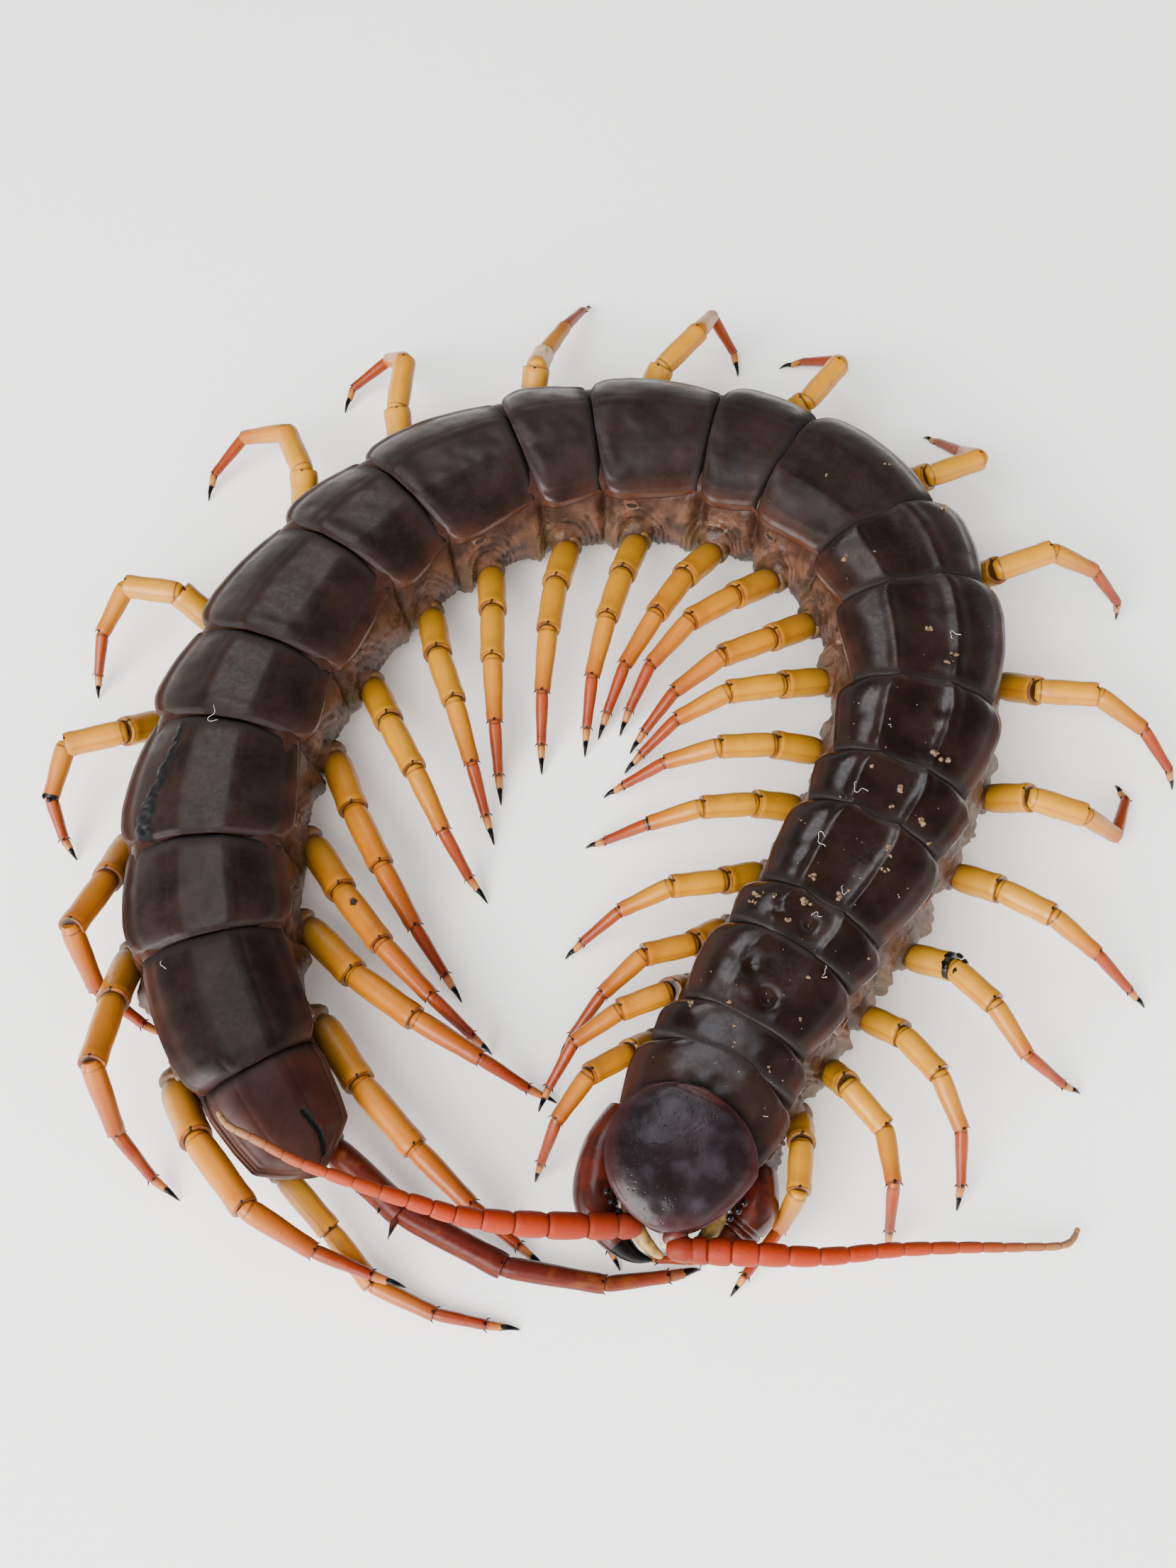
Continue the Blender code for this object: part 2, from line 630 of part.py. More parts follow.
ANTENNA_ARTICLES = 18
ARTICLE_STOPS = ((0.0, 0.84), (0.5, 1.0))
ANTENNA_TIP = 0.16
ANTENNA_GIRTH = ((0.0, 1.02), (0.12, 1.0), (0.3, 0.68), (0.5, 0.5), (0.7, 0.36), (0.9, 0.26), (1.0, 0.2))
ROUTE_LEFT = (
    (7.7, -44.7, 6.2), (11.6, -45.0, 6.4), (17.4, -45.0, 5.6), (23.0, -44.1, 4.3),
    (28.6, -43.5, 3.0), (33.2, -43.2, 2.1), (36.8, -42.8, 1.5), (38.0, -41.5, 1.3),
)
ROUTE_RIGHT = (
    (2.2, -42.9, 6.3), (-3.6, -43.3, 7.8), (-8.8, -43.2, 9.2), (-12.6, -42.5, 10.4), (-17.0, -41.4, 11.6),
    (-21.1, -40.0, 12.0), (-24.1, -38.5, 12.2), (-26.5, -37.2, 12.0), (-27.4, -36.1, 11.8),
)


def antenna_route(side):
    """Bends of an antenna from its socket out; the left one trails, the right one is held up."""
    return [Vector(p) for p in (ROUTE_LEFT if side > 0 else ROUTE_RIGHT)]


def antenna_way(side):
    route = antenna_route(side)
    return (route[1] - route[0]).normalized()


def eased(route, share):
    """Point on a smooth curve through the route's bends."""
    spans = len(route) - 1
    place = min(share * spans, spans - 0.0001)
    k = int(place)
    u = place - k
    p0 = route[max(k - 1, 0)]
    p1, p2 = route[k], route[k + 1]
    p3 = route[min(k + 2, spans)]
    return 0.5 * (
        2 * p1 + (p2 - p0) * u + (2 * p0 - 5 * p1 + 4 * p2 - p3) * u ** 2
        + (3 * p1 - p0 - 3 * p2 + p3) * u ** 3
    )


def antenna(side, name):
    """A feeler of beaded articles that thins to its tip."""
    route = antenna_route(side)
    places = []
    radii = []
    for k in range(ANTENNA_ARTICLES):
        for share, swell in ARTICLE_STOPS:
            at = (k + share) / ANTENNA_ARTICLES
            along = eased(route, min(at + 0.01, 1.0)) - eased(route, max(at - 0.01, 0.0))
            places.append((eased(route, at), along.normalized()))
            radii.append(between(ANTENNA_GIRTH, at) * swell)
    end = eased(route, 1.0)
    places.append((end, (end - eased(route, 0.98)).normalized()))
    radii.append(ANTENNA_TIP)
    return facing_out(tube(name, turned(places, radii, 6)))


def clear_scene():
    for old in list(bpy.data.objects):
        bpy.data.objects.remove(old)


def centre_on_origin(parts):
    """Move the whole animal so that its box stands centred over the origin."""
    lows = [min(v.co[axis] for part in parts for v in part.data.vertices) for axis in (0, 1)]
    highs = [max(v.co[axis] for part in parts for v in part.data.vertices) for axis in (0, 1)]
    shift = Vector((-(lows[0] + highs[0]) / 2, -(lows[1] + highs[1]) / 2, 0.0))
    for part in parts:
        for vertex in part.data.vertices:
            vertex.co += shift
    print("shift to the middle, mm:", round(shift.x / MM, 2), round(shift.y / MM, 2))


def main():
    clear_scene()
    plate_brown = material("dark_chitin", (0.045, 0.026, 0.020), 0.35)
    head_brown = material("head_chitin", (0.055, 0.028, 0.028), 0.35)
    leg_ochre = material("leg_chitin", (0.62, 0.33, 0.05), 0.4)
    rear_red = material("hind_leg_chitin", (0.22, 0.035, 0.018), 0.4)
    antenna_red = material("antenna_chitin", (0.55, 0.09, 0.03), 0.5)
    claw_red = material("forcipule_chitin", (0.19, 0.03, 0.02), 0.3)
    parts = []
    for first, last in TRUNK_LENGTHS:
        body = trunk_length(first, last)
        stumps = [coxa(side, n) for n in range(first, last + 1) for side in "lr"]
        if last == len(TERGITES):
            stumps.append(tail_shield())
        parts.append(finish(joined(body.name, [body] + stumps), plate_brown))
    clearance = facing_out(tube("clearance", trunk_rings(1, len(TERGITES), GAP)))
    for n in range(1, 22):
        for side in "lr":
            look = rear_red if (side, n) == ("r", 21) else leg_ochre
            parts.append(finish(cut_clear(leg(side, n), clearance), look))
    bpy.data.objects.remove(clearance)
    parts.append(finish(head(), head_brown))
    parts.append(finish(forcipular_segment(), claw_red))
    parts.append(finish(forcipule(1, "forcipule_l"), claw_red))
    parts.append(finish(forcipule(-1, "forcipule_r"), claw_red))
    parts.append(finish(antenna(1, "antenna_l"), antenna_red))
    parts.append(finish(antenna(-1, "antenna_r"), antenna_red))
    centre_on_origin(parts)
    triangles = sum(len(f.vertices) - 2 for part in parts for f in part.data.polygons)
    print("nodes", len(parts), "triangles", triangles)


main()
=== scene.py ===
# %% [markdown]
# # A giant centipede, life size
#
# The imported solids give the place and size of every part of the animal, and this notebook dresses them.
# A centipede is a chain of repeats, so nearly everything here is a short function called many times: a
# curved line for the body, a soft skin round it, hard plates along its back, and jointed legs.
# First comes the frame itself.

from math import pi, radians

import bpy
import numpy as np
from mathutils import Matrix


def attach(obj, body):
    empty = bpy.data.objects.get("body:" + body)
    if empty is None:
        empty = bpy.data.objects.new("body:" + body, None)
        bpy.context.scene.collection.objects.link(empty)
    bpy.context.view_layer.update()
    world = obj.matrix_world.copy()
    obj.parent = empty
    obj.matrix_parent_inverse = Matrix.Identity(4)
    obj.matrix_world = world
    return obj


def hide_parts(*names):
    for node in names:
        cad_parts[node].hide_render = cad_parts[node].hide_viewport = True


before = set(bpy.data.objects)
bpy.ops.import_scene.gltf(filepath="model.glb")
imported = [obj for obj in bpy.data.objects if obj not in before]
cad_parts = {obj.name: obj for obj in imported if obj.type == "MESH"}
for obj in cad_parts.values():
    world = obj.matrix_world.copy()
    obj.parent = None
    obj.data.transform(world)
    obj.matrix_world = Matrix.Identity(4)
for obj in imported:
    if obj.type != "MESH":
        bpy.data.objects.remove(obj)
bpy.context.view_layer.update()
print("nodes in the frame:", len(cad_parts))

# %% [markdown]
# ## The line of the body
#
# Every piece is placed from one line, the middle of the animal seen from above. It starts at the neck and
# runs to the tail, and is given as headings at a few distances, which is how one would walk it. Walking it
# in small steps gives points, and a place beside the line is then a distance along, a distance out to the
# animal's left, and a height. All sizes are in millimetres until a mesh is made.

# %% The midline
MM = 0.001
SHIFT = np.array([-2.73, -6.02, 0.0])
STATIONS = (
    (-14, 92), (-5, 85), (0, 66), (8, 60), (20, 55), (40, 71), (60, 109), (80, 161),
    (100, 196), (120, 232), (140, 255), (160, 280), (178, 303), (194, 305),
)
START = (7.8, -36.1)
TRACK_STEP = 0.25
TERGITES = (
    5.0, 3.6, 7.4, 4.4, 9.2, 5.8, 8.8, 11.2, 8.0, 11.4, 7.6,
    11.2, 7.6, 12.2, 8.8, 12.0, 9.0, 11.4, 9.0, 11.4, 9.0,
)
LAST = len(TERGITES)


def heading(s):
    """Heading of the midline in degrees, eased through the stations."""
    last = len(STATIONS) - 1
    k = 0
    while k < last - 1 and s > STATIONS[k + 1][0]:
        k += 1
    (a, va), (b, vb) = STATIONS[k], STATIONS[k + 1]
    before = STATIONS[max(k - 1, 0)]
    after = STATIONS[min(k + 2, last)]
    slope_a = (vb - before[1]) / (b - before[0])
    slope_b = (after[1] - va) / (after[0] - a)
    span = b - a
    u = (s - a) / span
    return (
        (2 * u ** 3 - 3 * u ** 2 + 1) * va + (u ** 3 - 2 * u ** 2 + u) * slope_a * span
        + (3 * u ** 2 - 2 * u ** 3) * vb + (u ** 3 - u ** 2) * slope_b * span
    )


TRACK_S = np.arange(-13.0, sum(TERGITES) + 3.0, TRACK_STEP)
TRACK_TURN = np.radians([heading(s) for s in TRACK_S])
stride = np.radians([heading(s + TRACK_STEP / 2) for s in TRACK_S[:-1]])
TRACK_X = np.concatenate([[0.0], np.cumsum(np.cos(stride) * TRACK_STEP)])
TRACK_Y = np.concatenate([[0.0], np.cumsum(np.sin(stride) * TRACK_STEP)])
TRACK_X += START[0] - np.interp(0.0, TRACK_S, TRACK_X)
TRACK_Y += START[1] - np.interp(0.0, TRACK_S, TRACK_Y)


def put(s, out, z):
    """Points at s along the midline, out to the animal's left, at height z."""
    s, out, z = np.broadcast_arrays(s, out, z)
    turn = np.interp(s, TRACK_S, TRACK_TURN)
    x = np.interp(s, TRACK_S, TRACK_X) + np.sin(turn) * out
    y = np.interp(s, TRACK_S, TRACK_Y) - np.cos(turn) * out
    return np.stack([x, y, z], axis=-1)


def ahead_and_left(s):
    """Directions towards the head and to the animal's left at s."""
    turn = float(np.interp(s, TRACK_S, TRACK_TURN))
    return np.array([-np.cos(turn), -np.sin(turn), 0.0]), np.array([np.sin(turn), -np.cos(turn), 0.0])


def rear_edge(n):
    """Distance along the midline to the rear edge of tergite n."""
    return sum(TERGITES[:n])


print("length of the trunk, mm:", round(rear_edge(LAST), 1))

# %% [markdown]
# ## Tables and noise
#
# A body is never quite straight or even. Two helpers carry that: one reads a smooth value from a few named
# pairs, the other gives soft random lumps of a chosen size. The noise mixes whole numbers for each cell of
# a grid, so it gives the same animal each run.

# %% Smooth tables and lumps
def read(table, at):
    """Straight-line value of a table of (place, value) pairs."""
    return np.interp(at, [pair[0] for pair in table], [pair[1] for pair in table])


def smooth(table, at):
    """Value of a table of (place, value) pairs, with its corners rounded off."""
    fine = np.linspace(table[0][0], table[-1][0], 60 * len(table))
    level = read(table, fine)
    for _ in range(2):
        padded = np.pad(level, 12, mode="reflect", reflect_type="odd")
        level = np.convolve(padded, np.ones(25) / 25, mode="valid")
    return np.interp(at, fine, level)


def step(low, high, at):
    """0 at low, 1 at high, and eased between."""
    u = np.clip((np.asarray(at, float) - low) / (high - low), 0.0, 1.0)
    return u * u * (3 - 2 * u)


def hill(at, width):
    """A smooth hill, 1 at zero and near 0 beyond twice its width."""
    return np.exp(-(at / width) ** 2)


def lattice(cells, seed):
    """A steady random number from 0 to 1 for each cell."""
    mixed = cells[..., 0] * 374761393 + cells[..., 1] * 668265263 + cells[..., 2] * 982451653 + seed * 144665
    mixed = ((mixed ^ (mixed >> 13)) * 1274126177) & 0xFFFFFFFF
    return ((mixed ^ (mixed >> 16)) & 0xFFFF) / 0xFFFF


def lumps(points, size, seed=1):
    """Smooth noise from -1 to 1 with lumps of the given size in millimetres."""
    at = np.asarray(points) / size
    cell = np.floor(at).astype(np.int64)
    u = at - cell
    u = u * u * (3 - 2 * u)
    total = 0.0
    for corner in np.ndindex(2, 2, 2):
        weight = np.prod(np.where(np.array(corner) == 1, u, 1 - u), axis=-1)
        total = total + weight * lattice(cell + np.array(corner), seed)
    return total * 2 - 1


print("noise at one spot:", round(float(lumps(np.array([[1.0, 2.0, 3.0]]), 2.0)[0]), 3))

# %% [markdown]
# ## From rings to pieces
#
# Skin, plates, legs and feelers are all made the same way: rings of points, one behind the other, joined
# by faces and closed at both ends by a strip across the ring. A shell is one such skin, and a piece is an
# object made of one or more shells. Each point also carries marks, plain numbers such as its distance to a
# joint or to a plate's edge. The materials read the marks, so that colour sits where it does on the animal.

# %% Shells and pieces
MARKS = ("along", "around", "joint", "dot", "edge", "rear", "scar", "flush", "fold")
FAR = 9.0


def shell(rings, **marks):
    """One closed skin over rings of points in millimetres."""
    rings = np.asarray(rings, float)
    rows, count = rings.shape[:2]
    spot = np.arange(rows * count).reshape(rows, count)
    beside = np.roll(spot, -1, axis=1)
    quads = np.stack([spot[:-1], beside[:-1], beside[1:], spot[1:]], axis=-1).reshape(-1, 4)
    points = rings.reshape(-1, 3)
    corner = [points[quads[:, k]] - points.mean(axis=0) for k in range(4)]
    volume = (np.cross(corner[0], corner[1]) * corner[2]).sum()
    volume += (np.cross(corner[0], corner[2]) * corner[3]).sum()
    half = np.arange(count // 2 - 1)
    strip = np.stack([half, half + 1, count - 2 - half, count - 1 - half], axis=-1)
    faces = quads.tolist() + spot[0][strip][:, ::-1].tolist() + spot[-1][strip].tolist()
    if volume < 0:
        faces = [face[::-1] for face in faces]
    spread = {name: np.broadcast_to(value, (rows, count)).reshape(-1) for name, value in marks.items()}
    return {"points": points, "faces": faces, "marks": spread}


def piece(name, shells, finish, stands_for=()):
    """An object made of shells, riding on the frame."""
    points = np.concatenate([part["points"] for part in shells])
    faces = []
    start = 0
    for part in shells:
        faces += [[i + start for i in face] for face in part["faces"]]
        start += len(part["points"])
    mesh = bpy.data.meshes.new(name)
    mesh.from_pydata(((points + SHIFT) * MM).tolist(), [], faces)
    for mark_name in MARKS:
        if any(mark_name in part["marks"] for part in shells):
            values = [part["marks"].get(mark_name, np.zeros(len(part["points"]))) for part in shells]
            layer = mesh.attributes.new(mark_name, "FLOAT", "POINT")
            layer.data.foreach_set("value", np.concatenate(values).astype(np.float32))
    mesh.materials.append(finish)
    mesh.shade_smooth()
    mesh.set_sharp_from_angle(angle=radians(55))
    made = bpy.data.objects.new(name, mesh)
    bpy.context.scene.collection.objects.link(made)
    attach(made, "root")
    if stands_for:
        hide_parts(*stands_for)
    return made


print("marks:", ", ".join(MARKS))

# %% [markdown]
# ## Paints and nodes
#
# Colours are written as the hex values that a paint program shows and turned to the linear numbers that
# the renderer needs. One small function adds a shader node with its settings and links. The others say what
# a painter would do: how much of a coat to lay where, which coats go over each other, and how deep the
# surface is tooled. Every pattern has a real size in millimetres.

# %% Colour and node helpers
def paint(code):
    """Linear colour of an sRGB hex value."""
    parts = [int(code[i:i + 2], 16) / 255 for i in (1, 3, 5)]
    return (*[c / 12.92 if c <= 0.04045 else ((c + 0.055) / 1.055) ** 2.4 for c in parts], 1.0)


def add(tree, kind, inputs=(), stops=(), **settings):
    """Adds one node: its own settings, a ramp's stops, and a value or a link for each input."""
    made = tree.nodes.new(kind)
    for name, value in settings.items():
        setattr(made, name, value)
    for k, (place, code) in enumerate(stops):
        stop = made.color_ramp.elements[k] if k < 2 else made.color_ramp.elements.new(place)
        stop.position = place
        stop.color = paint(code)
    for name, value in dict(inputs).items():
        if isinstance(value, bpy.types.NodeSocket):
            tree.links.new(value, made.inputs[name])
        else:
            made.inputs[name].default_value = value
    return made


def new_finish(name, roughness, ior, **sockets):
    """A material, its node tree and its shader."""
    made = bpy.data.materials.new(name)
    made.use_nodes = True
    shader = made.node_tree.nodes["Principled BSDF"]
    shader.inputs["Roughness"].default_value = roughness
    shader.inputs["IOR"].default_value = ior
    for socket, value in sockets.items():
        shader.inputs[socket.replace("_", " ")].default_value = value
    return made, made.node_tree, shader


def speckle(tree, size_mm, detail=3.0, kind="ShaderNodeTexNoise"):
    """A pattern with lumps of a real size in millimetres."""
    where = add(tree, "ShaderNodeTexCoord").outputs["Object"]
    return add(tree, kind, {"Vector": where, "Scale": 1.0 / (size_mm * MM), "Detail": detail})


def amount(tree, *terms):
    """How much of something there is: marks, given by name, patterns and numbers, multiplied together.

    A term may have ends: the values between which it is eased, and then what it is there, or else 0 and 1.
    """
    product = None
    for source, *ends in terms:
        if isinstance(source, str):
            source = add(tree, "ShaderNodeAttribute", attribute_name=source).outputs["Fac"]
        if ends:
            names = ("From Min", "From Max", "To Min", "To Max")
            inputs = {"Value": source, **dict(zip(names, ends))}
            eased_term = add(tree, "ShaderNodeMapRange", inputs, interpolation_type="SMOOTHSTEP")
            source = eased_term.outputs["Result"]
        if product is not None:
            source = add(tree, "ShaderNodeMath", {0: product, 1: source}, operation="MULTIPLY").outputs[0]
        product = source
    return product


def paint_over(tree, shader, colour, *coats):
    """Lays coats over a colour, each as (amount, hex value or colour), and gives the result to the shader."""
    for share, coat in coats:
        inputs = {0: share, 6: colour, 7: paint(coat) if isinstance(coat, str) else coat}
        colour = add(tree, "ShaderNodeMix", inputs, data_type="RGBA").outputs[2]
    tree.links.new(colour, shader.inputs["Base Color"])


def tool(tree, shader, *reliefs):
    """Small reliefs over each other, each as (height, real depth in millimetres)."""
    inputs = {}
    for height, depth_mm in reliefs:
        inputs = {**inputs, "Height": height, "Distance": depth_mm * MM, "Strength": 1.0}
        inputs["Normal"] = add(tree, "ShaderNodeBump", inputs).outputs["Normal"]
    tree.links.new(inputs["Normal"], shader.inputs["Normal"])


def soil_grains(tree, size_mm):
    """Dust: a small round grain in the middle of a few cells of a pattern."""
    cells = speckle(tree, size_mm, 0.0, "ShaderNodeTexVoronoi")
    return amount(tree, (cells.outputs["Distance"], 0.17, 0.12), (cells.outputs["Color"], 0.975, 0.985))


print("mid grey in linear light:", round(paint("#808080")[0], 3))

# %% [markdown]
# ## Chitin for the back
#
# The plates of the back are sclerotised chitin: a horn hardened and tanned almost black. It is grown, so it
# is smooth and a little waxy. It gives a satin gloss with soft edges to its lights, the flat middle of the
# hind plates gets a grey painted sheen, and the horn thins to red-brown along the side margins. A plate's
# front, tucked under its forerunner, gets painted shade and is dull. Dust sits on the front plates. The last
# two plates are the same horn with less gloss, one a little darker and the very last one redder.

# %% Back plate finish
def tanned_chitin(name="tanned_chitin", darker="#100806", lighter="#1e120e", level=0.45):
    """Plate horn, cloudy between two close colours."""
    finish, tree, shader = new_finish(name, 0.36, 1.55, Specular_IOR_Level=level)
    mottle = speckle(tree, 4.0, 5.0).outputs["Fac"]
    fine = speckle(tree, 0.35, 4.0).outputs["Fac"]
    bloom = speckle(tree, 2.6, 3.0).outputs["Fac"]
    # Painted shade on the front of a plate, where the plate before it hides it; it is also made duller there.
    tucked_shade = amount(tree, ("fold",), (0.85,))
    crust = amount(tree, ("scar", 0.25, 0.02))
    paint_over(
        tree, shader, paint(darker),
        (amount(tree, (mottle, 0.35, 0.68)), lighter),
        # painted sheen: the flat middle of the hind plates is painted greyer, as a mirrored light would show
        (amount(tree, ("around", 0.30, 0.22, 0.0, 0.22)), "#241b18"),
        (amount(tree, (bloom, 0.5, 0.75, 0.0, 0.15)), "#2e2523"),
        (amount(tree, ("edge", 1.5, 0.1), (mottle, 0.3, 0.65, 0.15, 0.8)), "#30160b"),
        (amount(tree, ("along", 0.1, 0.5)), "#351a10"),
        (amount(tree, ("rear", 0.30, 0.04, 0.0, 0.55)), "#120a08"),
        (amount(tree, (soil_grains(tree, 0.55),), ("flush",)), "#86705a"),
        # painted shade under the rear lip of the plate in front
        (tucked_shade, "#0d0705"),
        (crust, "#020304"),
    )
    rough = amount(tree, (fine, 0.3, 0.75, 0.36, 0.46))
    lip = amount(tree, ("rear", 0.6, 0.2), ("around", 0.20, 0.34))
    for where, change in ((amount(tree, ("flush",)), -0.20), (crust, 0.25), (tucked_shade, 0.5), (lip, 0.28)):
        inputs = {0: where, 1: change, 2: rough}
        rough = add(tree, "ShaderNodeMath", inputs, operation="MULTIPLY_ADD").outputs[0]
    tree.links.new(rough, shader.inputs["Roughness"])
    swells = speckle(tree, 4.0, 1.5).outputs["Fac"]
    tool(tree, shader, (swells, 0.09), (fine, 0.002))
    return finish


plate_finish = tanned_chitin()
dark_finish = tanned_chitin("dark_tail_chitin", "#0e0706", "#190e0c", 0.28)
tail_finish = tanned_chitin("red_tail_chitin", "#1a0a08", "#28110d", 0.26)
print("made", plate_finish.name, dark_finish.name, tail_finish.name)

# %% [markdown]
# ## Plates of the back
#
# There are twenty-one tergites, long and short by turns, and each laps over the one behind it. A plate is
# made as rings across the animal: an arch, a flange that turns down at each side, and an underside. It
# rises steeply from under its forerunner, swells before its rear edge and rolls down there, so that a line
# of light and a dark gap mark every joint. A low rim with a groove inside it follows each side. The front
# plates are hollowed between two ridges, and the hind ones fall away from a flat middle.

# %% Plate sizes
WIDTHS = (
    (0, 12.0), (3, 11.8), (6, 11.2), (35, 12.6), (55, 13.8), (110, 13.7),
    (145, 13.4), (155, 13.2), (164, 12.1), (175, 9.9), (180, 9.2), (184, 8.2),
)
HEIGHTS = (
    (0, 9.0), (2.2, 9.75), (5, 10.55), (8.6, 11.0), (16, 11.4), (35, 12.1),
    (145, 12.1), (157, 11.8), (167, 11.2), (175, 10.3), (184, 7.0),
)
BELLY = ((0, 0.5), (4, 0.0), (169, 0.0), (184, 2.4))
PLATE_OUTLINE = ((0.0, 0.87), (0.1, 0.91), (0.25, 0.98), (0.5, 1.055), (0.75, 1.095), (1.0, 1.06))
FIRST_OUTLINE = ((0.0, 0.82), (0.3, 1.0), (0.55, 1.11), (0.8, 1.14), (1.0, 1.06))
SECOND_OUTLINE = ((0.0, 0.96), (0.3, 1.08), (0.6, 1.12), (0.85, 1.11), (1.0, 1.06))
LAST_OUTLINE = (
    (0.0, 0.94), (0.12, 0.98), (0.3, 1.04), (0.6, 1.0), (0.78, 0.96),
    (0.80, 0.88), (0.86, 0.72), (0.93, 0.5), (0.97, 0.3), (1.0, 0.1),
)
PLATE_THICK = 0.32
PLATE_LAP = 0.9
REAR_OVERRUN = 0.3
CORNER = 1.9
FRONT_DIP = 0.95
PLATE_STEP = 0.14
ARCH_POINTS = 91
FLANGE = ((0.0, -0.22), (0.03, -0.50), (0.10, -0.85), (0.25, -1.15), (0.45, -1.20), (0.70, -0.60))
SCAR_ROUTE = ((0.06, 0.52), (0.35, 0.50), (0.6, 0.56), (0.8, 0.66), (0.99, 0.74))
SLIT_ROUTE = ((0.60, -0.30), (0.75, -0.38), (0.92, -0.50))
DENTS = {
    3: ((0.42, 0.12, 0.6, 0.40), (0.62, -0.3, 0.5, 0.15)),
    4: ((0.62, 0.0, 0.55, 0.40), (0.55, -0.4, 0.5, 0.2)),
}


def plate_outline(n, u):
    """Half width of plate n at shares of its length, before its corners are rounded."""
    tables = {1: FIRST_OUTLINE, 2: SECOND_OUTLINE, LAST: LAST_OUTLINE}
    return smooth(tables.get(n, PLATE_OUTLINE), u)


def plate_arch(n, u, v):
    """The top of plate n at shares of its length and of its half width: places, heights and marks."""
    front = rear_edge(n - 1) - (0.2 if n == 1 else PLATE_LAP)
    back = rear_edge(n) + REAR_OVERRUN
    length = back - front
    s = front + u * length
    past = s - rear_edge(n - 1)
    left = back - s
    half = 0.5 * read(WIDTHS, s) * plate_outline(n, u)
    if n < LAST:
        turned_in = np.maximum(CORNER - left, 0.0) / CORNER
        half = half - 0.75 * CORNER * (1 - np.sqrt(np.maximum(1 - turned_in ** 2, 0.0)))
    out = v * half
    side = np.abs(v)
    inset = half - np.abs(out)
    if n == 1:
        s = s - 2.2 * side ** 2.5 * step(0.7, 0.0, u)
    s = s + {1: 1.1, 2: 0.5}.get(n, 0.25) * (1 - side ** 2) * step(0.3, 1.0, u)
    hind = step(9, 15, n) * (0.45 if n > 19 else 1.0)
    rounded = 1 - 0.02 * side ** 2 - 0.135 * side ** 4
    faceted = 1 - 0.05 * side ** 2 - 0.22 * np.maximum(side - 0.26, 0.0) ** 1.42
    top = smooth(HEIGHTS, s) * (rounded + (faceted - rounded) * hind)
    if n == 1:
        top = top - 0.3 * step(2.5, 0.0, past)
    else:
        top = top - FRONT_DIP * step(0.74 + 0.42 * hind, 0.05, past)
    top = top + (0.02 + 0.08 * hind) * hill(left - 1.15, 0.85) * step(0.95, 0.35, side)
    top = top - 0.09 * hind * step(0.5, 0.0, left)
    rim = 0.55 + 0.45 * step(4, 16, n)
    if n == LAST:
        top = (
            top + 0.10 * hill(inset - 0.2, 0.14) - 0.10 * hill(inset - 0.48, 0.14)
            + 0.06 * hill(inset - 0.8, 0.2))
    else:
        top = top + rim * (0.05 * hill(inset - 0.28, 0.22) - 0.05 * hill(inset - 0.85, 0.3))
    early = step(11, 8, n) * step(2.6, 4.6, n)
    grown = step(0.02, 0.25, u)
    top = top + early * grown * (0.26 * hill(side - 0.40, 0.09) - 0.30 * hill(side, 0.25))
    if n > 2:
        top = top - 0.03 * grown * hill((side - 0.43) * half, 0.12)
    for dent_u, dent_v, width, depth in DENTS.get(n, ()):
        top = top - depth * hill(np.hypot((u - dent_u) * length, (v - dent_v) * half), width)
    spots = put(s, out, top)
    top = top + (0.11 if 3 <= n <= 13 else 0.06) * lumps(spots, 3.2, n) + 0.03 * lumps(spots, 1.1, n + 40)
    top = top - 0.35 * step(0.5, 0.0, left) * step(0.6, 0.0, inset)
    scar = np.full_like(top, FAR)
    if n in (18, LAST):
        route = SCAR_ROUTE if n == 18 else SLIT_ROUTE
        away = np.abs(v - read(route, u)) * half
        width = 0.12 + 0.36 * step(0.35, 0.9, u) + 0.24 * lumps(spots, 0.55, 9) if n == 18 else 0.12
        on_route = (u > route[0][0] - 0.02) & (u < route[-1][0] + 0.02)
        scar = np.where(on_route, np.maximum(away - width, 0.0), FAR)
        crust = 0.18 * lumps(spots, 0.4, 5) + 0.08 if n == 18 else -0.12
        top = top + np.where(scar < 0.05, crust, 0.0)
    # Painted shade: 1 on the front of the plate under the rear lip of the one before, fading out behind it.
    hidden_shade = step(1.6 + 0.7 * hind, 0.7, past) * (n > 1)
    names = ("s", "out", "top", "inset", "half", "left", "scar", "hidden_shade")
    return dict(zip(names, (s, out, top, inset, half, left, scar, hidden_shade)))


